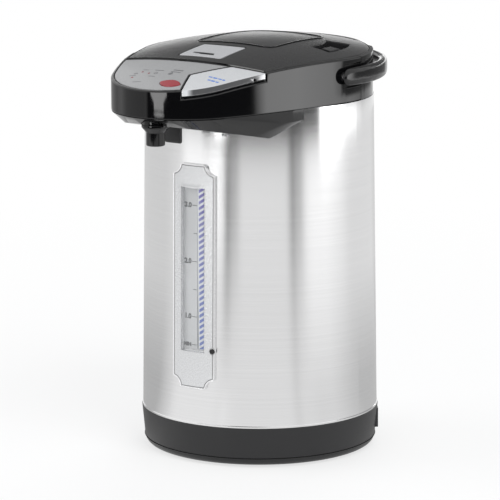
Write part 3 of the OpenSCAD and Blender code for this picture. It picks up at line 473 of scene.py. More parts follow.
@dataclass(frozen=True)
class MetallicPaint(Finish):
    """Silver paint with metal flakes in it, under a thin lacquer."""

    roughness: float = 0.36
    metallic: float = 0.55
    flake_depth: float = 0.000012
    fleck: float = 0.13
    flakes: float = 2600.0
    lacquer: float = 0.25

    def paint(self) -> Paint:
        """Makes flakes, cloudiness and a lightly worn lacquer.

        Returns:
            The material's nodes.
        """
        paint = Paint(self.label)
        flakes = paint.cells(self.flakes)
        cloud = paint.noise(11.0, 3.0)
        fleck = flakes.between(0.1, 0.7)
        tone = paint.shaded(fleck, self.colour, 1.0 + self.fleck, 1.0 - self.fleck)
        paint.set(
            base_color=paint.mixed(cloud * 0.35, tone, shade(self.colour, 0.92)), metallic=self.metallic,
            roughness=(self.roughness + fleck.swing(self.fleck)).clamped(), coat_weight=self.lacquer,
            coat_roughness=0.12, normal=paint.bump(flakes, self.flake_depth),
        )
        return paint


@dataclass(frozen=True)
class PanelPaintWithGapShade(MetallicPaint):
    """Silver panel paint with a black band of painted shade along its seams beside the key and the lid."""

    # painted shade: a black band along the seams beside the key and the lid, not metallic and without lacquer
    border: float = 1.3 * MM
    gap_shade_colour: Colour = (0.008, 0.008, 0.009)
    key_side: PlanEdge = PlanEdge(39.0 * MM, -99.0 * MM, 145.84)
    key_front: PlanEdge = PlanEdge(20.0 * MM, -127.0 * MM, 200.99)
    key_seam: float = 0.6 * MM
    lid_centre_y: float = 255.0 * MM
    lid_radius: float = 355.3 * MM

    def paint(self) -> Paint:
        """Paints the band of painted shade over the silver, from the distance to the panel's edges.

        Returns:
            The material's nodes.
        """
        paint = super().paint()
        x, y, _ = paint.axes()
        beside = self.key_side.inside(x, y).most(self.key_front.inside(x, y)) - self.key_seam
        before = x.hypot(y - self.lid_centre_y) - self.lid_radius
        silver = beside.least(before).above(self.border)
        paint.set(
            base_color=paint.mixed(silver, self.gap_shade_colour, paint.tone()), metallic=silver * self.metallic,
            coat_weight=silver * self.lacquer,
        )
        return paint


@dataclass(frozen=True)
class RimPaintWithHighlight(MetallicPaint):
    """Silver paint of the gauge's frame, with a painted highlight along its rim and a dark line of painted
    shade inside it.
    """

    # painted highlight: a bright, fully metallic band along the rim; painted shade: a dark line just inside
    # it
    rim: float = 1.1 * MM
    line: float = 1.8 * MM
    rim_shade_colour: Colour = (0.20, 0.20, 0.205)
    rim_highlight_colour: Colour = (0.92, 0.92, 0.93)

    def paint(self) -> Paint:
        """Paints the rim's highlight and the line of shade, from the distance to the frame's outline.

        Returns:
            The material's nodes.
        """
        paint = super().paint()
        x, _, z = paint.axes()
        inside = GAUGE.inside(x, z)
        inner = paint.mixed(inside.above(self.line), self.rim_shade_colour, paint.tone())
        painted = inside.above(self.rim)
        paint.set(
            base_color=paint.mixed(painted, self.rim_highlight_colour, inner),
            metallic=1.0 - painted * (1.0 - self.metallic),
        )
        return paint


@dataclass(frozen=True)
class BrushedSheet(Finish):
    """Stainless sheet, brushed round its axis, with a slow change of gloss."""

    roughness: float = 0.15
    line_depth: float = 0.000001
    brushing: Place = (5.0, 5.0, 1500.0)

    def paint(self) -> Paint:
        """Makes brush lines that show in colour, gloss and relief.

        Returns:
            The material's nodes.
        """
        paint = Paint(self.label)
        fine = paint.noise(1.0, 3.0, self.brushing)
        coarse = paint.noise(1.0, 2.0, tuple(0.22 * s for s in self.brushing))
        cloud = paint.noise(9.0)
        lines = fine * 0.7 + coarse * 0.3
        tone = paint.shaded(lines.between(0.3, 0.7), self.colour, 0.97, 1.03)
        gloss = self.roughness + lines.swing(0.08) + cloud.swing(0.04)
        paint.set(
            base_color=paint.mixed(cloud.between(0.35, 0.75) * 0.3, tone, shade(self.colour, 0.96)),
            metallic=1.0, roughness=gloss.clamped(), normal=paint.bump(lines, self.line_depth),
        )
        return paint


@dataclass(frozen=True)
class PlatedMetal(Finish):
    """Plated or polished metal with small spots and fine scratches."""

    roughness: float = 0.12
    scratch_depth: float = 0.000004

    def paint(self) -> Paint:
        """Makes a bright metal whose gloss breaks up a little.

        Returns:
            The material's nodes.
        """
        paint = Paint(self.label)
        scratch = paint.noise(240.0, 5.0, (1.0, 1.0, 7.0))
        spots = paint.cells(420.0).between(0.0, 0.35)
        gloss = self.roughness + scratch.swing(0.1) + (1.0 - spots) * 0.03
        paint.set(
            base_color=paint.shaded(scratch, self.colour, 0.9, 1.06), metallic=1.0, roughness=gloss.clamped(),
            normal=paint.bump(scratch, self.scratch_depth),
        )
        return paint


@dataclass(frozen=True)
class ReflectionPaintedTrim(PlatedMetal):
    """Plated trim with painted reflections: a painted dark reflection along its middle, and painted
    highlights at its ends, which are nearly not metallic so that their pale colour shows bright.
    """

    left: float = 34.0 * MM
    right: float = 71.0 * MM
    fade_left: float = 4.0 * MM
    fade_right: float = 6.0 * MM
    # painted reflection: a dark colour along the middle of the plating; the ends are nearly not metallic, so
    # their pale colour shows as a painted highlight
    painted_dark_reflection: Colour = (0.24, 0.24, 0.245)
    highlight_end_metallic: float = 0.1
    middle_metallic: float = 0.6

    def paint(self) -> Paint:
        """Paints the reflections on the plating from end to end.

        Returns:
            The material's nodes.
        """
        paint = super().paint()
        x, _, _ = paint.axes()
        after_left = x.between(self.left, self.left + self.fade_left)
        middle = after_left * (1.0 - x.between(self.right - self.fade_right, self.right))
        paint.set(
            base_color=paint.mixed(middle, paint.tone(), self.painted_dark_reflection),
            metallic=middle * (self.middle_metallic - self.highlight_end_metallic) + self.highlight_end_metallic,
        )
        return paint


@dataclass(frozen=True)
class CastMetal(Finish):
    """Rough die-cast metal."""

    roughness: float = 0.5
    pit_depth: float = 0.00006

    def paint(self) -> Paint:
        """Makes a pitted, cloudy metal skin.

        Returns:
            The material's nodes.
        """
        paint = Paint(self.label)
        skin = paint.noise(500.0, 5.0)
        pits = paint.cells(900.0).between(0.0, 0.3)
        paint.set(
            base_color=paint.shaded(skin, self.colour, 0.8, 1.1), metallic=0.9,
            roughness=(self.roughness + skin.swing(0.2)).clamped(),
            normal=paint.bump(skin * 0.6 + pits * 0.4, self.pit_depth),
        )
        return paint


@dataclass(frozen=True)
class SoftRubber(Finish):
    """Rubber or silicone with a dusty bloom and fine moulding texture."""

    roughness: float = 0.55
    milkiness: float = 0.0
    grain_depth: float = 0.00003

    def paint(self) -> Paint:
        """Makes a soft surface with a pale bloom.

        Returns:
            The material's nodes.
        """
        paint = Paint(self.label)
        bloom = paint.noise(35.0, 4.0).between(0.45, 0.8)
        grain = paint.noise(1200.0)
        paint.set(
            base_color=paint.shaded(bloom * 0.35, self.colour, 1.0, 1.35),
            roughness=(self.roughness + bloom * 0.12).clamped(), subsurface_weight=self.milkiness,
            subsurface_scale=0.002, normal=paint.bump(grain, self.grain_depth),
        )
        return paint


@dataclass(frozen=True)
class ClearPlastic(Finish):
    """Clear moulded plastic, nearly colourless."""

    alpha: float = 0.18
    roughness: float = 0.05
    flow_depth: float = 0.00002

    def paint(self) -> Paint:
        """Makes a thin clear sheet with faint flow marks.

        Returns:
            The material's nodes.
        """
        paint = Paint(self.label)
        flow = paint.noise(22.0, 2.0, (1.0, 1.0, 0.3))
        paint.set(
            base_color=paint.shaded(flow, self.colour, 0.95, 1.0),
            roughness=(self.roughness + flow * 0.03).clamped(),
            alpha=(self.alpha + flow.swing(0.04)).clamped(), normal=paint.bump(flow, self.flow_depth),
        )
        paint.material.surface_render_method = "BLENDED"
        return paint


@dataclass(frozen=True)
class CircuitBoard(Finish):
    """Green board with copper tracks under its lacquer."""

    copper: Colour = (0.10, 0.30, 0.10)
    solder: Colour = (0.55, 0.55, 0.52)
    relief: float = 0.00006

    def paint(self) -> Paint:
        """Makes square tracks and small soldered dots.

        Returns:
            The material's nodes.
        """
        paint = Paint(self.label)
        x, y, _ = paint.axes()
        along = (x * 260.0 + paint.noise(30.0) * 2.0).fraction().above(0.72)
        across = (y * 190.0 + paint.noise(24.0) * 2.0).fraction().above(0.78)
        lines = (along + across).clamped()
        dots = 1.0 - paint.cells(330.0).between(0.12, 0.2)
        tone = paint.mixed(lines, self.colour, self.copper)
        paint.set(
            base_color=paint.mixed(dots, tone, self.solder), roughness=(0.32 + dots * 0.1).clamped(),
            metallic=dots * 0.7, normal=paint.bump(lines * 0.5 + dots * 0.5, self.relief),
        )
        return paint


@dataclass(frozen=True)
class PrintedInk(Finish):
    """Screen-printed ink, a little uneven."""

    roughness: float = 0.45
    relief: float = 0.000008

    def paint(self) -> Paint:
        """Makes ink with a speckled edge of gloss.

        Returns:
            The material's nodes.
        """
        paint = Paint(self.label)
        speck = paint.noise(2200.0)
        paint.set(
            base_color=paint.shaded(speck, self.colour, 0.85, 1.15),
            roughness=(self.roughness + speck.swing(0.15)).clamped(), normal=paint.bump(speck, self.relief),
        )
        return paint


@dataclass(frozen=True)
class StripedSleeve(Finish):
    """White sleeve with slanted dashes, seen through the sight tube."""

    low_dash: Colour = (0.05, 0.12, 0.50)
    high_dash: Colour = (0.14, 0.11, 0.42)
    low: float = 110.0 * MM
    high: float = 230.0 * MM
    pitch: float = 4.6 * MM
    slant: float = 0.62
    white_share: float = 0.45
    centre: float = 6.5 * MM
    plain: float = 4.3 * MM
    relief: float = 0.00001

    def paint(self) -> Paint:
        """Makes the dashes from the height and the sideways place.

        Returns:
            The material's nodes.
        """
        paint = Paint(self.label)
        x, _, z = paint.axes()
        across = (self.centre - x) * (self.slant / self.pitch)
        dashes = (z / self.pitch + across).fraction().above(self.white_share) * x.above(self.plain)
        ink = paint.mixed(z.between(self.low, self.high), self.low_dash, self.high_dash)
        rough = paint.noise(900.0)
        paint.set(
            base_color=paint.mixed(dashes, self.colour, ink), roughness=(0.3 + rough * 0.1).clamped(),
            normal=paint.bump(rough, self.relief),
        )
        return paint


BLACK_GLOSS = MouldedPlastic("black_gloss_plastic", (0.004, 0.004, 0.0045), 0.05, 900.0, 0.0000006)
BLACK_SATIN = MouldedPlastic("black_satin_plastic", (0.018, 0.018, 0.019), 0.40, 2100.0, 0.00003, 0.45)
BLACK_LID = MouldedPlastic("black_lid_plastic", (0.012, 0.012, 0.0125), 0.28, 1900.0, 0.000014)
HANDLE_BLACK = MouldedPlastic("handle_plastic", (0.006, 0.006, 0.0065), 0.14, 1500.0, 0.00001)
DARK_PLASTIC = MouldedPlastic("dark_plastic", (0.022, 0.022, 0.025), 0.45, 1700.0, 0.00003)
WHITE_PLASTIC = MouldedPlastic("white_plastic", (0.70, 0.69, 0.64), 0.42, 1600.0)
SCALE_WHITE = MouldedPlastic("white_scale", (0.60, 0.60, 0.605), 0.38, 1400.0, 0.000008)
RED_PLASTIC = MouldedPlastic("red_plastic", (0.30, 0.016, 0.026), 0.22, 1500.0, 0.00001, coat=0.4)
LAMP_RED = MouldedPlastic("lamp_plastic", (0.22, 0.012, 0.016), 0.22, 1500.0, 0.00001, coat=0.4)
SILVER_PAINT = MetallicPaint("silver_plastic", (0.50, 0.505, 0.52), 0.4, 0.2)
# the panel's finish paints a black band of shade along the seams beside the key and the lid
PANEL_SILVER = PanelPaintWithGapShade("panel_silver", (0.335, 0.337, 0.342), 0.42, 0.15)
KEY_SILVER = MetallicPaint("key_silver", (0.62, 0.63, 0.645), 0.38, 0.2)
# the gauge's finish paints a highlight along the rim and a line of shade inside it
GAUGE_SILVER = RimPaintWithHighlight("gauge_silver", (0.76, 0.765, 0.775), 0.26, 0.65, 0.000001, 0.03)
# painted reflections: dark along the middle of the key's plated side, painted highlights at its ends
CHROME_WITH_PAINTED_REFLECTIONS = ReflectionPaintedTrim("chrome_plastic", (0.85, 0.86, 0.88), 0.1)
SCREW_STEEL = PlatedMetal("screw_steel", (0.60, 0.60, 0.61), 0.24)
BRASS = PlatedMetal("terminal_brass", (0.68, 0.56, 0.30), 0.25)
SHELL_STEEL = BrushedSheet("brushed_steel", (0.86, 0.86, 0.865))
POT_STEEL = BrushedSheet("pot_steel", (0.70, 0.70, 0.71), 0.22)
CAST = CastMetal("aluminium_cast", (0.52, 0.52, 0.54))
SILICONE = SoftRubber("silicone", (0.74, 0.72, 0.66), 0.45, 0.15)
RUBBER = SoftRubber("dark_rubber", (0.022, 0.022, 0.024), 0.7)
WIRE = SoftRubber("wire_red", (0.42, 0.03, 0.03), 0.5)
WINDOW = ClearPlastic("clear_plastic", (0.90, 0.92, 0.93), 0.12)
TUBE = ClearPlastic("tube_plastic", (0.82, 0.88, 0.94), 0.3)
BOARD = CircuitBoard("board_green", (0.025, 0.12, 0.045))
INK_BLACK = PrintedInk("ink_black", (0.006, 0.006, 0.007))
INK_GREY = PrintedInk("ink_grey", (0.12, 0.12, 0.125))
INK_BLUE = PrintedInk("ink_blue", (0.05, 0.17, 0.55))
STRIPES = StripedSleeve("striped_sleeve", (0.80, 0.81, 0.84))

NODE_FINISH: dict[Finish, tuple[str, ...]] = {
    BLACK_SATIN: ("bottom_cover",),
    RUBBER: ("anti_slip_ring",),
    SCREW_STEEL: (
        "bottom_screws", "pump_motor", "chin_screws", "key_pin", "key_spring", "button_spring",
        "cup_lever_pin", "hinge_pin", "lever_pin", "lid_latch", "pump_spring", "handle_pivots",
    ),
    BRASS: ("inlet_pins",),
    SHELL_STEEL: ("outer_shell",),
    POT_STEEL: ("inner_pot", "lid_inner"),
    WINDOW: ("gauge_window",),
    TUBE: ("level_tube",),
    SCALE_WHITE: ("level_scale",),
    INK_BLACK: ("gauge_screw",),
    SILICONE: ("pot_seal", "suction_hose", "lower_hose", "spout_hose", "lid_gasket", "pump_bellows"),
    DARK_PLASTIC: ("pot_support_ring", "motor_bracket", "board_components", "panel_switches", "cup_switch"),
    WHITE_PLASTIC: ("pump_housing", "pump_impeller"),
    CAST: ("heater_plate", "thermostats"),
    BOARD: ("power_board", "control_board"),
    WIRE: ("wire_loom",),
}


# ---------------------------------------------------------------- modelling bench


class Bench:
    """Where pieces are shaped, one at a time, with Blender's own tools."""

    @staticmethod
    def clear() -> None:
        """Deselects everything, in object mode."""
        if bpy.context.mode != "OBJECT":
            bpy.ops.object.mode_set(mode="OBJECT")
        bpy.ops.object.select_all(action="DESELECT")

    @classmethod
    def take(cls, piece: bpy.types.Object) -> bpy.types.Object:
        """Makes a piece the only selected and active one.

        Args:
            piece: The object.

        Returns:
            The same object.
        """
        cls.clear()
        piece.hide_set(False)
        piece.select_set(True)
        bpy.context.view_layer.objects.active = piece
        return piece

    @classmethod
    def settle(cls, piece: bpy.types.Object) -> bpy.types.Object:
        """Puts a piece's place, turn and scale into its mesh."""
        cls.take(piece)
        bpy.ops.object.transform_apply(location=True, rotation=True, scale=True)
        return piece

    @classmethod
    @contextmanager
    def editing(cls, piece: bpy.types.Object) -> Iterator[None]:
        """Opens a piece in edit mode with all of it selected, and closes it afterwards.

        Args:
            piece: The object to edit.

        Yields:
            Nothing, while edit mode is on.
        """
        cls.take(piece)
        bpy.ops.object.mode_set(mode="EDIT")
        bpy.ops.mesh.select_mode(type="VERT")
        bpy.ops.mesh.select_all(action="SELECT")
        yield
        bpy.ops.object.mode_set(mode="OBJECT")

    @classmethod
    @contextmanager
    def editing_faces(
        cls, piece: bpy.types.Object, wanted: Callable[[bpy.types.MeshPolygon], bool], spread: bool = False
    ) -> Iterator[None]:
        """Opens a piece in edit mode with some faces selected, and closes it afterwards.

        Args:
            piece: The object to edit.
            wanted: Whether a face is selected.
            spread: Whether the faces between them, with no corner of their own, are selected too.

        Yields:
            Nothing, while edit mode is on.
        """
        with cls.editing(piece):
            bpy.ops.mesh.select_all(action="DESELECT")
            bpy.ops.mesh.select_mode(type="VERT" if spread else "FACE")
        for face in piece.data.polygons:
            face.select = wanted(face)
        bpy.ops.object.mode_set(mode="EDIT")
        bpy.ops.mesh.select_mode(type="FACE")
        yield
        bpy.ops.object.mode_set(mode="OBJECT")

    @classmethod
    def apply(cls, piece: bpy.types.Object, kind: str, **settings: object) -> bpy.types.Object:
        """Adds a modifier and applies it.

        Args:
            piece: The object to change.
            kind: The modifier's type.
            settings: The modifier's settings.

        Returns:
            The same object.
        """
        cls.take(piece)
        modifier = piece.modifiers.new(kind.lower(), kind)
        for key, value in settings.items():
            setattr(modifier, key, value)
        bpy.ops.object.modifier_apply(modifier=modifier.name)
        return piece

    @classmethod
    def round_edges(
        cls, piece: bpy.types.Object, width: float, segments: int = 3, angle: float = 32.0,
        clamp: bool = False,
    ) -> None:
        """Rounds the edges sharper than an angle, and shades the rest smooth.

        Args:
            piece: The object to change.
            width: The bevel's width in metres.
            segments: The bevel's steps.
            angle: Edges above this angle are rounded, in degrees.
            clamp: Whether the width is held back where edges are short.
        """
        cls.apply(
            piece, "BEVEL", width=width, segments=segments, limit_method="ANGLE",
            angle_limit=math.radians(angle), use_clamp_overlap=clamp, loop_slide=False,
        )
        cls.smooth(piece)

    @classmethod
    def smooth(cls, piece: bpy.types.Object) -> None:
        """Shades a piece smooth below an angle, with its large faces kept even."""
        cls.shade_smooth(piece)
        cls.apply(piece, "WEIGHTED_NORMAL", keep_sharp=True, weight=60)

    @classmethod
    def shade_smooth(cls, piece: bpy.types.Object, angle: float = SMOOTH_BELOW) -> None:
        """Shades a piece smooth below an angle in degrees."""
        cls.take(piece)
        bpy.ops.object.shade_smooth_by_angle(angle=math.radians(angle))

    @classmethod
    def copy_node(cls, node: str, name: str) -> bpy.types.Object:
        """Copies a CAD node's shape into a new piece with joined faces.

        Args:
            node: The CAD node.
            name: The new piece's name.

        Returns:
            The new object.
        """
        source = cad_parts[node]
        made = bpy.data.objects.new(name, source.data.copy())
        bpy.context.scene.collection.objects.link(made)
        for key in list(made.keys()):
            del made[key]
        made.data.materials.clear()
        with cls.editing(made):
            bpy.ops.mesh.remove_doubles(threshold=0.002 * MM)
            bpy.ops.mesh.customdata_custom_splitnormals_clear()
            bpy.ops.mesh.dissolve_limited(angle_limit=math.radians(0.05), use_dissolve_boundaries=False)
        return made

    @classmethod
    def cylinder(
        cls, radius: float, low: float, high: float, x: float = 0.0, y: float = 0.0, vertices: int = 96,
        caps: bool = True,
    ) -> bpy.types.Object:
        """Makes an upright cylinder.

        Args:
            radius: Its radius.
            low: Its lower end.
            high: Its upper end.
            x: Its middle from left to right.
            y: Its middle from front to back.
            vertices: The corners of its outline.
            caps: Whether its ends are closed.

        Returns:
            The new object.
        """
        cls.clear()
        bpy.ops.mesh.primitive_cylinder_add(
            vertices=vertices, radius=radius, depth=high - low, end_fill_type="NGON" if caps else "NOTHING",
            location=(x, y, (low + high) / 2),
        )
        return cls.settle(bpy.context.active_object)

    @classmethod
    def join(cls, pieces: Sequence[bpy.types.Object], name: str) -> bpy.types.Object:
        """Joins pieces into the first of them.

        Args:
            pieces: The pieces.
            name: The new name of the first.

        Returns:
            The joined piece.
        """
        cls.clear()
        for piece in pieces:
            piece.select_set(True)
        bpy.context.view_layer.objects.active = pieces[0]
        if len(pieces) > 1:
            bpy.ops.object.join()
        made = bpy.context.active_object
        made.name = name
        return made

    @classmethod
    def ride(
        cls, piece: bpy.types.Object, body: str, finish: Finish, slot: Optional[str] = None
    ) -> bpy.types.Object:
        """Dresses a finished piece and fixes it to its body.

        Args:
            piece: The finished object.
            body: The CAD body that it moves with.
            finish: Its finish.
            slot: Not used; the material slot, where the finish has another name.

        Returns:
            The same object.
        """
        if not piece.data.materials:
            piece.data.materials.append(finish.material())
        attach(piece, body)
        log.info("%s rides on %s", piece.name, body)
        return piece


# ---------------------------------------------------------------- softened CAD pieces


@dataclass
class SoftenedPart:
    """A visible moulding: its CAD shape with rounded edges."""

    node: str
    body: str
    finish: Finish
    width: float = 0.5 * MM
    segments: int = 3
    slot: Optional[str] = None
    clamp: bool = False
    angle: float = 32.0

    def build(self) -> bpy.types.Object:
        """Copies, rounds and dresses the part.

        Returns:
            The new object.
        """
        piece = Bench.copy_node(self.node, self.node + "_skin")
        Bench.round_edges(piece, self.width, self.segments, self.angle, self.clamp)
        Bench.ride(piece, self.body, self.finish, self.slot)
        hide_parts(self.node)
        return piece


MOULDINGS = (
    SoftenedPart("base_housing", "housing", BLACK_SATIN, 0.7 * MM),
    SoftenedPart("inlet_socket", "housing", DARK_PLASTIC, 0.4 * MM),
    SoftenedPart("head_housing", "housing", BLACK_GLOSS, 1.0 * MM, 4),
    SoftenedPart("rear_collar", "housing", BLACK_GLOSS, 1.0 * MM, 4, clamp=True),
    SoftenedPart("chin_cover", "housing", BLACK_GLOSS, 0.8 * MM, clamp=True, angle=24.0),
    SoftenedPart("spout_nozzle", "housing", BLACK_GLOSS, 0.4 * MM),
    SoftenedPart("fascia_panel", "housing", PANEL_SILVER, 0.35 * MM, slot="silver_plastic"),
    SoftenedPart("red_button", "button", RED_PLASTIC),
    SoftenedPart("cup_lever", "cup_lever", BLACK_SATIN),
    SoftenedPart("lid_outer", "lid", BLACK_LID, 0.8 * MM, slot="black_satin_plastic"),
    SoftenedPart("pump_plate", "plate", BLACK_LID, 1.0 * MM, slot="black_gloss_plastic"),
    SoftenedPart("lid_lever", "lever", SILVER_PAINT, 0.4 * MM),
    SoftenedPart("pump_lock", "lock", BLACK_LID, 0.6 * MM, slot="dark_plastic"),
)


@dataclass
class SpringyPart:
    """A spring or bellows that is pressed together between two bodies."""

    node: str
    below: str
    above: str
    finish: Finish

    def build(self) -> bpy.types.Object:
        """Copies the part, shades it smooth, dresses it and puts its place into its mesh.

        Returns:
            The new object.
        """
        low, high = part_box(self.node)
        piece = Bench.copy_node(self.node, self.node + "_skin")
        Bench.smooth(piece)
        piece.data.materials.append(self.finish.material())
        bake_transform(piece)
        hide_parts(self.node)
        log.info("%s shortens between %s and %s", piece.name, self.below, self.above)
        return piece


SPRINGY_PARTS = (
    SpringyPart("pump_bellows", "lid", "plate", SILICONE),
    SpringyPart("pump_spring", "lid", "plate", SCREW_STEEL),
    SpringyPart("key_spring", "housing", "key", SCREW_STEEL),
    SpringyPart("button_spring", "housing", "button", SCREW_STEEL),
)


@dataclass
class DomeTrim:
    """A thin wall that stands up from the dome."""

    rise: float
    sink: float
    thickness: float
    edge: float

    def drape(self, piece: bpy.types.Object, middle: float) -> bpy.types.Object:
        """Lays a wall's two edges along the dome, and makes it solid.

        Args:
            piece: The wall, without thickness.
            middle: What lies above this height goes above the dome, the rest below it.

        Returns:
            The same object.
        """
        for vertex in piece.data.vertices:
            x, y, z = vertex.co
            vertex.co.z = DOME.height(x, y) + (self.rise if z > middle else -self.sink)
        Bench.apply(piece, "SOLIDIFY", thickness=self.thickness, offset=-1.0, use_even_offset=True)
        Bench.round_edges(piece, self.edge, 2)
        return piece


@dataclass
class LidLip(DomeTrim):
    """The raised lip along the front edge of the lid."""

    rise: float = 1.3 * MM
    sink: float = 0.8 * MM
    thickness: float = 1.0 * MM
    edge: float = 0.3 * MM
    radius: float = 354.2 * MM
    centre_y: float = 255.0 * MM
    half_width: float = 66.0 * MM
    height: float = 20.0 * MM

    def build(self) -> bpy.types.Object:
        """Cuts the lip from a large ring, and lays it on the dome.

        Returns:
            The lip.
        """
        half = self.height / 2
        piece = Bench.cylinder(self.radius, -half, half, y=self.centre_y, vertices=720, caps=False)
        ends = (
            ((-self.half_width, 0.0, 0.0), (-1.0, 0.0, 0.0)),
            ((self.half_width, 0.0, 0.0), (1.0, 0.0, 0.0)),
            ((0.0, 0.0, 0.0), (0.0, 1.0, 0.0)),
        )
        with Bench.editing(piece):
            for place, outward in ends:
                bpy.ops.mesh.select_all(action="SELECT")
                bpy.ops.mesh.bisect(plane_co=place, plane_no=outward, clear_outer=True)
        self.drape(piece, 0.0)
        piece.name = "lid_lip"
        return Bench.ride(piece, "lid", BLACK_GLOSS, "black_satin_plastic")


@dataclass
class PlateRim(DomeTrim):
    """The fine raised rim round the pump's press plate."""

    rise: float = 0.7 * MM
    sink: float = 0.6 * MM
    thickness: float = 0.7 * MM
    edge: float = 0.2 * MM
    half_width: float = 37.4 * MM
    front: float = 38.9 * MM
    rear: float = 43.9 * MM
    corner: float = 9.9 * MM
    height: float = 10.0 * MM

    def build(self) -> bpy.types.Object:
        """Rounds a plate's outline, raises it and lays it on the dome.

        Returns:
            The rim.
        """
        Bench.clear()
        bpy.ops.mesh.primitive_plane_add(size=1.0, location=(0.0, (self.rear - self.front) / 2, 0.0))
        piece = bpy.context.active_object
        piece.scale = (2 * self.half_width, self.front + self.rear, 1.0)
        Bench.settle(piece)
        with Bench.editing(piece):
            bpy.ops.mesh.bevel(offset=self.corner, segments=8, affect="VERTICES")
            bpy.ops.mesh.select_all(action="SELECT")
            bpy.ops.mesh.delete(type="ONLY_FACE")
            bpy.ops.mesh.select_all(action="SELECT")
            bpy.ops.mesh.subdivide(number_cuts=7)
            bpy.ops.mesh.extrude_region_move(TRANSFORM_OT_translate={"value": (0.0, 0.0, self.height)})
            bpy.ops.mesh.select_all(action="SELECT")
            bpy.ops.mesh.normals_make_consistent(inside=False)
        self.drape(piece, self.height / 2)
        piece.name = "plate_rim"
        return Bench.ride(piece, "plate", BLACK_GLOSS)


@dataclass
class CarryHandle:
    """The carrying handle, well rounded all over."""

    voxel: float = 1.0 * MM
    passes: int = 80

    def build(self) -> bpy.types.Object:
        """Builds the handle from its CAD shape and softens it.

        Returns:
            The handle.
        """
        piece = Bench.copy_node("handle", "handle_skin")
        Bench.apply(piece, "REMESH", mode="VOXEL", voxel_size=self.voxel)
        Bench.apply(piece, "SMOOTH", factor=0.5, iterations=self.passes)
        Bench.take(piece)
        bpy.ops.object.shade_smooth()
        Bench.ride(piece, "handle", HANDLE_BLACK)
        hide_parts("handle")
        return piece


@dataclass
class DispenseKey:
    """The large key on the nose, silver on top, with a plated outer side whose dark middle and bright ends
    are painted reflections.
    """

    width: float = 0.45 * MM
    side_limit: float = 0.55
    nose_y: float = -104.5 * MM
    wall_radius: float = 56.2 * MM

    def build(self) -> bpy.types.Object:
        """Builds the key and gives its outer side the plating with painted reflections.

        Returns:
            The key.
        """
        piece = Bench.copy_node("dispense_key", "dispense_key_skin")
        Bench.round_edges(piece, self.width)
        piece.data.materials.append(KEY_SILVER.material())
        piece.data.materials.append(CHROME_WITH_PAINTED_REFLECTIONS.material())
        for face in piece.data.polygons:
            if abs(face.normal.z) < self.side_limit and self.outside(face.center):
                face.material_index = 1
        Bench.ride(piece, "key", KEY_SILVER, "silver_plastic")
        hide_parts("dispense_key")
        return piece

    def outside(self, centre: Vector) -> bool:
        """Returns whether a face lies on the outer wall of the nose."""
        return math.hypot(centre.x, centre.y - self.nose_y) > self.wall_radius


# ---------------------------------------------------------------- gauge


@dataclass
class GaugeFrame:
    """Frame of the gauge with scalloped corners and a raised rim, whose brightness is a painted highlight in
    its finish.
    """

    middle_y: float = -94.0 * MM
    cutter_length: float = 60.0 * MM
    rim: float = 1.1 * MM
    rim_height: float = 0.5 * MM
    front_reach: float = 2.0 * MM
    edge: float = 0.22 * MM

    def cut_corners(self, piece: bpy.types.Object) -> None:
        """Cuts a round scallop out of each corner.

        Args:
            piece: The frame.
        """
        for x in (-GAUGE.half_width, GAUGE.half_width):
            for z in (GAUGE.low, GAUGE.high):
                Bench.clear()
                bpy.ops.mesh.primitive_cylinder_add(
                    vertices=48, radius=GAUGE.scallop, depth=self.cutter_length,
                    rotation=(math.pi / 2, 0.0, 0.0), location=(x, self.middle_y, z),
                )
                cutter = Bench.settle(bpy.context.active_object)
                Bench.apply(piece, "BOOLEAN", object=cutter, operation="DIFFERENCE", solver="EXACT")
                bpy.data.objects.remove(cutter, do_unlink=True)

    def at_front(self, face: bpy.types.MeshPolygon) -> bool:
        """Finds the faces of the frame's curved front.

        Args:
            face: A face of the frame.

        Returns:
            Whether it lies there.
        """
        out = Vector((face.center.x, face.center.y, 0.0))
        reach = SHELL.radius(face.center.z) + self.front_reach
        return face.normal.dot(out.normalized()) > FACING and out.length > reach

    def raise_rim(self, piece: bpy.types.Object) -> None:
        """Insets the front of the frame, so that a rim stands round it."""
        with Bench.editing_faces(piece, self.at_front, spread=True):
            bpy.ops.mesh.inset(thickness=self.rim, depth=-self.rim_height, use_even_offset=True)

    def build(self) -> bpy.types.Object:
        """Builds the frame and gives it the finish with a painted highlight along the rim and a line of
        painted shade inside it.

        Returns:
            The frame.
        """
        piece = Bench.copy_node("gauge_frame", "gauge_frame_skin")
        self.cut_corners(piece)
        self.raise_rim(piece)
        Bench.round_edges(piece, self.edge, 2, 30.0)
        Bench.ride(piece, "housing", GAUGE_SILVER, "silver_plastic")
        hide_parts("gauge_frame")
        return piece


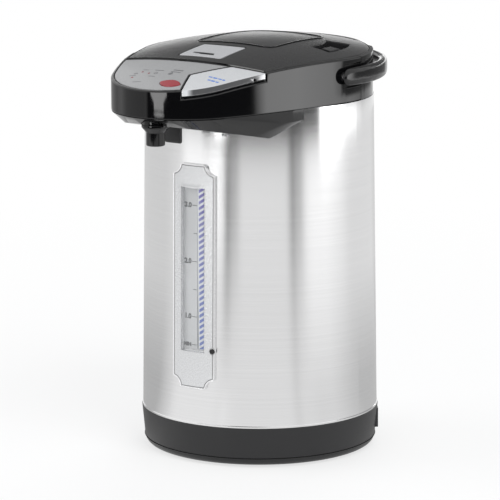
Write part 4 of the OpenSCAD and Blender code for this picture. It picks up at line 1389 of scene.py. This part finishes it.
@dataclass
class WaterGauge:
    """Printed scale and striped tube behind the gauge window."""

    face_depth: float = 0.9 * MM
    marks: tuple[tuple[str, float], ...] = (
        ("3.0", 211.2), ("", 188.5), ("2.0", 165.8), ("", 143.0), ("1.0", 120.9), ("MIN", 98.0),
    )
    letter: float = 5.5 * MM
    word_share: float = 0.74
    letter_right: float = -3.3 * MM
    boldness: float = 0.3 * MM
    tick_right: float = 2.2 * MM
    tick_length: float = 4.9 * MM
    tick_width: float = 0.5 * MM
    half_share: float = 0.72
    ink_depth: float = 0.06 * MM
    tube_x: float = 6.5 * MM
    tube_y: float = -87.7 * MM
    tube_radius: float = 3.35 * MM
    sleeve_x: float = 6.1 * MM
    sleeve_half: float = 3.72 * MM
    sleeve_front: float = 6.0 * MM
    sleeve_back: float = 0.6 * MM
    sleeve_wall: float = 0.12 * MM
    sleeve_margin: float = 2.3 * MM
    squareness: float = 6.0

    def wrap(self, piece: bpy.types.Object) -> bpy.types.Object:
        """Bends a mark round the scale sheet.

        Args:
            piece: The mark, drawn in X and Z with its depth along -Y.

        Returns:
            The same object.
        """
        for vertex in piece.data.vertices:
            x, depth, z = vertex.co
            radius = SHELL.radius(z) - self.face_depth - depth
            vertex.co.x = radius * math.sin(x / radius)
            vertex.co.y = -radius * math.cos(x / radius)
        return piece

    def number(self, words: str, height: float) -> bpy.types.Object:
        """Makes one number of the scale.

        Args:
            words: The number.
            height: The height of its middle.

        Returns:
            The number as a thin mesh.
        """
        Bench.clear()
        place = (self.letter_right, 0.0, height)
        bpy.ops.object.text_add(location=place, rotation=(math.pi / 2, 0.0, 0.0))
        text = bpy.context.active_object.data
        text.body = words
        text.size = self.letter * (self.word_share if words.isalpha() else 1.0)
        text.align_x = "RIGHT"
        text.align_y = "CENTER"
        text.extrude = self.ink_depth
        text.resolution_u = 3
        text.offset = self.boldness
        bpy.ops.object.convert(target="MESH")
        return self.wrap(Bench.settle(bpy.context.active_object))

    def tick(self, height: float, length: float) -> bpy.types.Object:
        """Makes one line of the scale beside the tube.

        Args:
            height: The line's height.
            length: The line's length.

        Returns:
            The line as a thin mesh.
        """
        Bench.clear()
        bpy.ops.mesh.primitive_cube_add(size=1.0, location=(self.tick_right - length / 2, 0.0, height))
        piece = bpy.context.active_object
        piece.scale = (length, 2 * self.ink_depth, self.tick_width)
        Bench.settle(piece)
        Bench.apply(piece, "SUBSURF", subdivision_type="SIMPLE", levels=2, render_levels=2)
        return self.wrap(piece)

    def print_scale(self) -> bpy.types.Object:
        """Joins all numbers and lines into one printed piece.

        Returns:
            The print.
        """
        pieces = []
        for words, height in self.marks:
            if words:
                pieces.append(self.number(words, height * MM))
            share = 1.0 if words else self.half_share
            pieces.append(self.tick(height * MM, share * self.tick_length))
        return Bench.join(pieces, "scale_print")

    def sleeve(self) -> bpy.types.Object:
        """Makes the striped half sleeve round the front of the tube.

        Returns:
            The sleeve.
        """
        low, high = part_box("level_scale")
        piece = Bench.cylinder(
            self.tube_radius, low.z + self.sleeve_margin, high.z - self.sleeve_margin, self.tube_x,
            self.tube_y, vertices=48, caps=False,
        )
        power = self.squareness
        for vertex in piece.data.vertices:
            across = (vertex.co.x - self.tube_x) / self.tube_radius
            ahead = self.sleeve_front * max(0.0, 1.0 - abs(across) ** power) ** (1.0 / power)
            vertex.co.x = self.sleeve_x + self.sleeve_half * across
            vertex.co.y = self.tube_y + math.copysign(ahead, vertex.co.y - self.tube_y)
        back = (self.tube_x, self.tube_y + self.sleeve_back, 0.0)
        with Bench.editing(piece):
            bpy.ops.mesh.bisect(plane_co=back, plane_no=(0.0, 1.0, 0.0), clear_outer=True)
        Bench.apply(piece, "SOLIDIFY", thickness=self.sleeve_wall, offset=1.0)
        Bench.shade_smooth(piece)
        piece.name = "striped_sleeve"
        return piece

    def build(self) -> None:
        """Builds the print and the sleeve."""
        Bench.ride(self.print_scale(), "housing", INK_BLACK, "white_scale")
        Bench.ride(self.sleeve(), "housing", STRIPES, "tube_plastic")


# ---------------------------------------------------------------- control panel


class MarkShape(Enum):
    """Generic marks that are printed on the panel."""

    BAR = "bar"
    RING = "ring"
    DROP = "drop"
    LAMP = "lamp"


@dataclass(frozen=True)
class Mark:
    """One printed mark or lamp window, in plan millimetres."""

    shape: MarkShape
    x: float
    y: float
    size: float
    width: float = 1.0
    turn: float = 0.0


@dataclass(frozen=True)
class Print:
    """A set of marks on one moulding."""

    name: str
    body: str
    under: str
    finish: Finish
    slot: str
    marks: tuple[Mark, ...]
    lift: float = 0.05 * MM


PANEL_MARKS = (
    Mark(MarkShape.BAR, -11.0, -124.6, 8.0, 1.0), Mark(MarkShape.BAR, 4.8, -121.5, 9.0, 1.6),
    Mark(MarkShape.RING, -10.6, -130.5, 1.7), Mark(MarkShape.DROP, 2.6, -129.4, 1.9),
    Mark(MarkShape.BAR, 4.8, -125.2, 9.0, 1.0), Mark(MarkShape.BAR, -24.0, -124.6, 5.0, 0.7),
    Mark(MarkShape.RING, -28.0, -133.0, 1.5), Mark(MarkShape.BAR, -28.0, -137.4, 6.0, 0.7),
    Mark(MarkShape.BAR, -10.0, -137.0, 6.0, 0.7), Mark(MarkShape.BAR, -16.0, -149.0, 7.0, 0.7, 10.0),
)
LAMP_MARKS = (
    Mark(MarkShape.LAMP, -24.0, -129.4, 1.0), Mark(MarkShape.LAMP, -16.5, -131.5, 1.0),
    Mark(MarkShape.LAMP, -26.0, -141.0, 1.0),
)
KEY_MARKS = (
    Mark(MarkShape.BAR, 37.0, -124.2, 3.2, 1.5, 4.0), Mark(MarkShape.BAR, 41.4, -124.3, 3.6, 1.9, 4.0),
    Mark(MarkShape.BAR, 45.8, -124.3, 3.2, 1.5, 4.0), Mark(MarkShape.BAR, 49.4, -124.4, 2.2, 1.9, 4.0),
    Mark(MarkShape.BAR, 39.2, -129.7, 2.6, 1.6, 4.0), Mark(MarkShape.BAR, 43.0, -129.9, 3.4, 1.9, 4.0),
    Mark(MarkShape.BAR, 47.0, -130.1, 2.6, 1.5, 4.0),
)
# painted shade: a black strip laid in the bottom of the lever's finger groove, where the groove lies in shade
LEVER_GROOVE_SHADE = (Mark(MarkShape.BAR, -1.5, -77.3, 20.0, 1.7, -2.0),)

PRINTS = (
    Print("panel_print", "housing", "fascia_panel_skin", INK_GREY, "silver_plastic", PANEL_MARKS),
    Print("panel_lamps", "housing", "fascia_panel_skin", LAMP_RED, "red_plastic", LAMP_MARKS),
    Print("key_print", "key", "dispense_key_skin", INK_BLUE, "silver_plastic", KEY_MARKS),
    # the lever's strip is painted shade in its finger groove, made with the black ink finish
    Print("lever_print", "lever", "lid_lever_skin", INK_BLACK, "silver_plastic", LEVER_GROOVE_SHADE, 0.2 * MM),
)


@dataclass
class ControlPanel:
    """Marks and lamps of the fascia and the key, and a strip of painted shade in the lever's groove."""

    depth: float = 0.12 * MM
    long_bar: float = 8.0
    corner_share: float = 0.3
    ring_width: float = 0.45 * MM
    tip_narrowing: float = 0.75
    tip_stretch: float = 1.8
    crown_share: float = 0.35
    ray_from: float = 0.4

    def flat(self, mark: Mark) -> bpy.types.Object:
        """Makes one mark flat on the ground, in its place in plan.

        Args:
            mark: The mark.

        Returns:
            The mark as a thin plate.
        """
        if mark.shape is MarkShape.BAR:
            return self.bar(mark)
        half = self.depth / 2
        piece = Bench.cylinder(mark.size * MM, -half, half, mark.x * MM, mark.y * MM, vertices=32)
        if mark.shape is MarkShape.RING:
            self.hollow(piece)
        if mark.shape is MarkShape.DROP:
            self.point(piece, mark)
        if mark.shape is MarkShape.LAMP:
            self.crown(piece)
        return piece

    def bar(self, mark: Mark) -> bpy.types.Object:
        """Makes a bar, divided so that it follows what it lies on.

        Args:
            mark: The bar's mark.

        Returns:
            The bar as a thin plate.
        """
        Bench.clear()
        bpy.ops.mesh.primitive_cube_add(
            size=1.0, location=(mark.x * MM, mark.y * MM, 0.0), rotation=(0.0, 0.0, math.radians(mark.turn))
        )
        piece = bpy.context.active_object
        piece.scale = (mark.size * MM, mark.width * MM, self.depth)
        Bench.settle(piece)
        Bench.apply(
            piece, "BEVEL", width=self.corner_share * mark.width * MM, segments=3, affect="EDGES",
            limit_method="ANGLE",
        )
        cuts = 3 if mark.size > self.long_bar else 1
        return Bench.apply(piece, "SUBSURF", subdivision_type="SIMPLE", levels=cuts, render_levels=cuts)

    def hollow(self, piece: bpy.types.Object) -> None:
        """Insets the two ends of a disc and joins them into a ring."""
        with Bench.editing_faces(piece, lambda face: abs(face.normal.z) > FACING):
            bpy.ops.mesh.inset(thickness=self.ring_width, use_individual=True)
            bpy.ops.mesh.bridge_edge_loops()

    def point(self, piece: bpy.types.Object, mark: Mark) -> None:
        """Draws one side of a disc out into a drop's tip.

        Args:
            piece: The disc.
            mark: The disc's mark.
        """
        for vertex in piece.data.vertices:
            up = vertex.co.y - mark.y * MM
            if up > 0:
                side = vertex.co.x - mark.x * MM
                narrowed = 1.0 - self.tip_narrowing * up / (mark.size * MM)
                vertex.co.x = mark.x * MM + side * narrowed
                vertex.co.y = mark.y * MM + up * self.tip_stretch

    def crown(self, piece: bpy.types.Object) -> None:
        """Rounds a lamp's window."""
        Bench.apply(piece, "BEVEL", width=self.crown_share * self.depth, segments=2, limit_method="ANGLE")
        Bench.shade_smooth(piece, 50.0)

    def lay(self, piece: bpy.types.Object, under: bpy.types.Object, lift: float) -> None:
        """Lays a flat piece on the top of another.

        Args:
            piece: The flat piece, drawn around z = 0.
            under: The piece that it lies on.
            lift: How far above it the flat piece lies.
        """
        for vertex in piece.data.vertices:
            x, y, z = vertex.co
            hit, place, _, _ = under.ray_cast(Vector((x, y, self.ray_from)), Vector((0.0, 0.0, -1.0)))
            vertex.co.z = (place.z if hit else DOME.height(x, y)) + lift + z

    def build(self) -> None:
        """Builds every set of marks as one piece, laid on its moulding."""
        for group in PRINTS:
            made = Bench.join([self.flat(mark) for mark in group.marks], group.name)
            self.lay(made, bpy.data.objects[group.under], group.lift)
            Bench.ride(made, group.body, group.finish, group.slot)


# ---------------------------------------------------------------- spout and pot


@dataclass
class NozzleCollar:
    """Collar that fills the wedge between the nozzle's flange and the slanted chin."""

    y: float = -146.5 * MM
    radius: float = 10.4 * MM
    low: float = 281.2 * MM
    high: float = 287.0 * MM
    cut: float = 285.0 * MM
    slope: float = 11.69
    edge: float = 0.3 * MM

    def build(self) -> bpy.types.Object:
        """Makes a short cylinder, cuts it along the chin and rounds it.

        Returns:
            The collar.
        """
        piece = Bench.cylinder(self.radius, self.low, self.high, y=self.y)
        turn = math.radians(self.slope)
        upward = (0.0, math.sin(turn), math.cos(turn))
        with Bench.editing(piece):
            bpy.ops.mesh.bisect(
                plane_co=(0.0, self.y, self.cut), plane_no=upward, use_fill=True, clear_outer=True
            )
        piece.name = "nozzle_collar"
        Bench.round_edges(piece, self.edge, 2)
        return Bench.ride(piece, "housing", BLACK_GLOSS)


@dataclass
class FillLine:
    """The ring pressed into the pot's wall at its fullest level."""

    height: float = 240.0 * MM
    radius: float = 82.9 * MM
    bead: float = 0.5 * MM
    stretch: float = 1.8

    def build(self) -> bpy.types.Object:
        """Makes the ring and stretches it along the wall.

        Returns:
            The ring.
        """
        Bench.clear()
        bpy.ops.mesh.primitive_torus_add(
            location=(0.0, 0.0, self.height), major_radius=self.radius, minor_radius=self.bead,
            major_segments=144, minor_segments=10,
        )
        piece = Bench.settle(bpy.context.active_object)
        with Bench.editing(piece):
            bpy.ops.transform.resize(
                value=(1.0, 1.0, self.stretch), center_override=(0.0, 0.0, self.height)
            )
        bpy.ops.object.shade_smooth()
        piece.name = "fill_line"
        return Bench.ride(piece, "housing", POT_STEEL)


# ---------------------------------------------------------------- studio


def only_mirrored(board: bpy.types.Object) -> None:
    """Hides a board from all but reflections.

    Args:
        board: The board.
    """
    board.visible_camera = False
    board.visible_diffuse = False
    board.visible_shadow = False
    board.visible_transmission = False


def round_the_pot(azimuth: float, distance: float, height: float) -> Vector:
    """Returns the place in a direction (in degrees), at a distance from the pot's axis."""
    angle = math.radians(azimuth)
    return Vector((distance * math.sin(angle), -distance * math.cos(angle), height))


def over(total: Number, level: Number, mask: Signal) -> Signal:
    """Returns total, replaced by level where the mask is 1."""
    return total + (level - total) * mask


@dataclass
class Card:
    """A board that only shows in reflections."""

    name: str
    azimuth: float
    distance: float
    width: float
    low: float
    high: float
    level: float

    def build(self) -> None:
        """Stands the board upright, facing the pot."""
        Bench.clear()
        bpy.ops.mesh.primitive_plane_add(size=1.0)
        board = bpy.context.active_object
        board.name = self.name
        board.scale = (self.width, self.high - self.low, 1.0)
        board.rotation_euler = (math.pi / 2, 0.0, math.radians(self.azimuth))
        board.location = round_the_pot(self.azimuth, self.distance, (self.low + self.high) / 2)
        paint = Paint(self.name)
        paint.show(paint.glow((self.level,) * 3))
        board.data.materials.append(paint.material)
        only_mirrored(board)


class Zone(Enum):
    """Distances of the floor's rings, by what sees them in its reflection."""

    LOW = 0.35
    MIDDLE = 0.85
    HIGH = 1.5


@dataclass(frozen=True)
class Board:
    """A soft-edged sector of the surroundings, as bright or dark as a board that stands there."""

    azimuth: float
    half_width: float
    softness: float
    levels: tuple[float, ...]

    def mask(self, angle: Signal) -> Signal:
        """Returns 1 in the board's sector, else 0."""
        away = (angle - self.azimuth).absolute()
        return 1.0 - away.between(self.half_width - self.softness, self.half_width + self.softness)


@dataclass
class ReflectedFloor:
    """What the pot's shiny sides see of the floor round them."""

    base: tuple[float, ...] = (0.82, 0.80, 0.87)
    boards: tuple[Board, ...] = (
        Board(-120.0, 62.0, 12.0, (0.48, 0.70, 0.70)),
        Board(-24.0, 21.5, 5.0, (0.88, 0.82, 1.20)),
        Board(9.0, 4.5, 3.0, (0.84, 0.76, 0.48)),
        Board(3.0, 3.0, 2.5, (0.90, 0.50, 0.20)),
        Board(73.0, 4.0, 3.0, (0.80, 0.77, 0.50)),
        Board(65.5, 3.0, 3.0, (0.72, 0.58, 0.24)),
        Board(103.0, 25.0, 6.0, (0.76, 0.99, 1.14)),
        Board(164.0, 46.0, 18.0, (0.54, 0.80, 0.80)),
    )

    def glow(self, paint: Paint) -> Signal:
        """Makes the floor's level from the direction and distance.

        Args:
            paint: The floor's material.

        Returns:
            The level.
        """
        x, y, _ = paint.axes()
        angle = paint.azimuth(x, y)
        reach = x.hypot(y)
        near = reach.between(Zone.LOW.value, Zone.MIDDLE.value)
        far = reach.between(Zone.MIDDLE.value, Zone.HIGH.value)

        def level(values: tuple[float, ...]) -> Signal:
            """Returns a level that changes with the distance, from its values at the three rings."""
            low, middle, high = values
            return near * (middle - low) + far * (high - middle) + low

        total = level(self.base)
        for board in self.boards:
            total = over(total, level(board.levels), board.mask(angle))
        return total


@dataclass(frozen=True)
class BrightSlot:
    """A bright upright slot that is wider at its top, with a drop below it."""

    azimuth: float = -4.5
    level: float = 5.2
    half_width: float = 6.0
    flare: float = 4.5
    flare_low: float = 0.236
    flare_high: float = 0.246
    foot_low: float = 0.2262
    foot_high: float = 0.2272
    drop_height: float = 0.2217
    drop_half_width: float = 6.5
    drop_half_height: float = 0.0031
    side_softness: float = 0.5
    drop_softness: float = 0.2

    def mask(self, angle: Signal, height: Signal) -> Signal:
        """Makes the slot's shape.

        Args:
            angle: The direction in degrees.
            height: The height in metres.

        Returns:
            1 inside the slot and the drop, else 0.
        """
        away = (angle - self.azimuth).absolute()
        half = height.between(self.flare_low, self.flare_high) * self.flare + self.half_width
        sides = (half - away).between(-self.side_softness, self.side_softness)
        bar = sides * height.between(self.foot_low, self.foot_high)
        rise = (height - self.drop_height) / self.drop_half_height
        drop = (away / self.drop_half_width) ** 2.0 + rise * rise
        outside = drop.between(1.0 - self.drop_softness, 1.0 + self.drop_softness)
        return (bar + (1.0 - outside)).clamped()


@dataclass
class HeadBackdrop:
    """A round wall that only the head's shiny sides see: dark, with a few bright boards."""

    radius: float = 0.6
    low: float = 0.193
    high: float = 0.33
    base: float = 0.9
    boards: tuple[Board, ...] = (
        Board(-100.0, 25.0, 8.0, (0.45,)),
        Board(-40.0, 22.0, 7.0, (0.6,)),
        Board(36.0, 56.0, 1.8, (0.0,)),
        Board(110.0, 17.0, 1.8, (3.8,)),
        Board(127.0, 13.0, 10.0, (2.2,)),
    )
    handle_board: Board = Board(149.5, 31.5, 2.5, (0.25,))
    handle_low: float = 0.211
    handle_high: float = 0.217
    slot: BrightSlot = BrightSlot()

    def build(self) -> None:
        """Stands the wall round the pot."""
        wall = Bench.cylinder(self.radius, self.low, self.high, vertices=128, caps=False)
        wall.name = "head_backdrop"
        paint = Paint("head_backdrop")
        x, y, z = paint.axes()
        angle = paint.azimuth(x, y)
        total = self.base
        for board in self.boards:
            total = over(total, board.levels[0], board.mask(angle))
        upper = self.handle_board.mask(angle) * z.between(self.handle_low, self.handle_high)
        total = over(total, self.handle_board.levels[0], upper)
        total = over(total, self.slot.level, self.slot.mask(angle, z))
        paint.show(paint.glow(total))
        wall.data.materials.append(paint.material)
        only_mirrored(wall)


@dataclass
class Lamp:
    """One soft square lamp that points at the pot."""

    name: str
    azimuth: float
    height: float
    distance: float
    size: float
    power: float
    target: Place = (0.0, 0.0, 0.18)

    def build(self) -> None:
        """Hangs the lamp."""
        Bench.clear()
        place = round_the_pot(self.azimuth, self.distance, self.height)
        bpy.ops.object.light_add(type="AREA", location=place)
        lamp = bpy.context.active_object
        lamp.name = self.name
        lamp.data.shape = "SQUARE"
        lamp.data.size = self.size
        lamp.data.energy = self.power
        lamp.rotation_euler = (Vector(self.target) - place).to_track_quat("-Z", "Y").to_euler()
        lamp.visible_glossy = False


@dataclass
class Studio:
    """Floor, boards, lamps, surroundings and camera."""

    cards: tuple[Card, ...] = (
        Card("flag_back", 193.0, 1.3, 1.7, 0.33, 1.9, 0.27),
        Card("flag_low", 193.0, 1.28, 1.7, 0.33, 0.47, 2.4),
    )
    lamps: tuple[Lamp, ...] = (
        Lamp("lamp_key", 60.0, 1.9, 1.6, 1.2, 26.0),
        Lamp("lamp_fill", -60.0, 1.4, 1.9, 1.4, 16.0),
        Lamp("lamp_back", 200.0, 1.8, 1.8, 1.2, 14.0),
    )
    reflected: ReflectedFloor = field(default_factory=ReflectedFloor)
    backdrop: HeadBackdrop = field(default_factory=HeadBackdrop)
    floor_size: float = 24.0
    white_from: float = 0.25
    white_at: float = 1.1
    near_share: float = 0.7
    floor_colour: Colour = (0.86, 0.86, 0.86)
    floor_roughness: float = 0.9
    light: Colour = (0.96, 0.98, 1.0)
    light_level: float = 0.55
    eye: Place = (1.5770, -2.3810, 0.7226)
    target: Place = (0.0, 0.0, 0.1649)
    roll: float = -0.12
    lens: float = 255.84
    sensor: float = 36.0
    shift: tuple[float, float] = (-0.01926, -0.01242)

    def floor(self) -> None:
        """Lays a pale floor that keeps the pot's shadow."""
        Bench.clear()
        bpy.ops.mesh.primitive_plane_add(size=self.floor_size)
        ground = bpy.context.active_object
        ground.name = "floor"
        paint = Paint("floor")
        paths = paint.node("ShaderNodeLightPath").outputs
        kinds = ("Is Camera Ray", "Is Glossy Ray", "Is Transmission Ray")
        camera, mirrored, through = (Signal(paint, paths[kind]) for kind in kinds)
        direct = (camera + through).clamped()
        x, y, _ = paint.axes()
        distant = x.hypot(y).between(self.white_from, self.white_at)
        paint.set(base_color=self.floor_colour, roughness=self.floor_roughness, specular_ior_level=0.1)
        glow = paint.glow(self.reflected.glow(paint) * mirrored + direct)
        share = (direct * (distant * (1.0 - self.near_share) + self.near_share) + mirrored).clamped()
        paint.show(paint.node("ShaderNodeMixShader", {}, {0: share, 1: paint.shader, 2: glow}))
        ground.data.materials.append(paint.material)

    def surroundings(self) -> None:
        """Makes a white surround for what sees it, and a softer one for the light."""
        world = bpy.data.worlds.new("surroundings")
        bpy.context.scene.world = world
        world.use_nodes = True
        sky = NodeTree(world.node_tree)
        paths = sky.node("ShaderNodeLightPath").outputs
        kinds = ("Is Camera Ray", "Is Glossy Ray", "Is Transmission Ray")
        camera, mirrored, through = (Signal(sky, paths[kind]) for kind in kinds)
        light = sky.node("ShaderNodeBackground", {}, {"Color": self.light, "Strength": self.light_level})
        white = sky.node("ShaderNodeBackground", {}, {"Color": (1.0, 1.0, 1.0), "Strength": 1.0})
        seen = (camera + mirrored + through).clamped()
        mix = sky.node("ShaderNodeMixShader", {}, {0: seen, 1: light, 2: white})
        sky.node("ShaderNodeOutputWorld", {}, {"Surface": mix})

    def camera(self) -> None:
        """Sets the camera."""
        data = bpy.data.cameras.new("camera")
        data.lens = self.lens
        data.sensor_width = self.sensor
        data.shift_x, data.shift_y = self.shift
        data.clip_end = 60.0
        camera = bpy.data.objects.new("camera", data)
        bpy.context.scene.collection.objects.link(camera)
        look = (Vector(self.target) - Vector(self.eye)).to_track_quat("-Z", "Y").to_matrix().to_4x4()
        roll = Matrix.Rotation(math.radians(self.roll), 4, "Z")
        camera.matrix_world = Matrix.Translation(self.eye) @ look @ roll
        bpy.context.scene.camera = camera

    def build(self) -> None:
        """Sets up the whole studio."""
        self.camera()
        self.floor()
        self.surroundings()
        self.backdrop.build()
        for item in (*self.cards, *self.lamps):
            item.build()
        bpy.context.scene.view_settings.view_transform = "Standard"


# ---------------------------------------------------------------- all together


@dataclass
class ThermoPot:
    """The whole object, in the order in which it is built."""

    mouldings: tuple[SoftenedPart, ...] = MOULDINGS
    key: DispenseKey = field(default_factory=DispenseKey)
    springs: tuple[SpringyPart, ...] = SPRINGY_PARTS
    lid_lip: LidLip = field(default_factory=LidLip)
    plate_rim: PlateRim = field(default_factory=PlateRim)
    handle: CarryHandle = field(default_factory=CarryHandle)
    gauge_frame: GaugeFrame = field(default_factory=GaugeFrame)
    gauge: WaterGauge = field(default_factory=WaterGauge)
    panel: ControlPanel = field(default_factory=ControlPanel)
    collar: NozzleCollar = field(default_factory=NozzleCollar)
    fill_line: FillLine = field(default_factory=FillLine)

    def dress_nodes(self) -> None:
        """Gives every CAD node that stays its finish."""
        for finish, names in NODE_FINISH.items():
            for node in (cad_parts[name] for name in names):
                if not node.data.materials:
                    node.data.materials.append(finish.material())
                for slot in node.material_slots:
                    slot.material = finish.material()

    def build(self) -> None:
        """Builds and dresses everything in order."""
        self.dress_nodes()
        for part in (
            *self.mouldings, self.key, *self.springs, self.lid_lip, self.plate_rim, self.handle,
            self.gauge_frame, self.gauge, self.panel, self.collar, self.fill_line,
        ):
            part.build()


def main() -> None:
    """Builds the pot and its studio."""
    logging.basicConfig(level=logging.INFO, format="%(message)s")
    Studio().build()
    ThermoPot().build()
    Bench.clear()


if __name__ == "__main__":
    main()
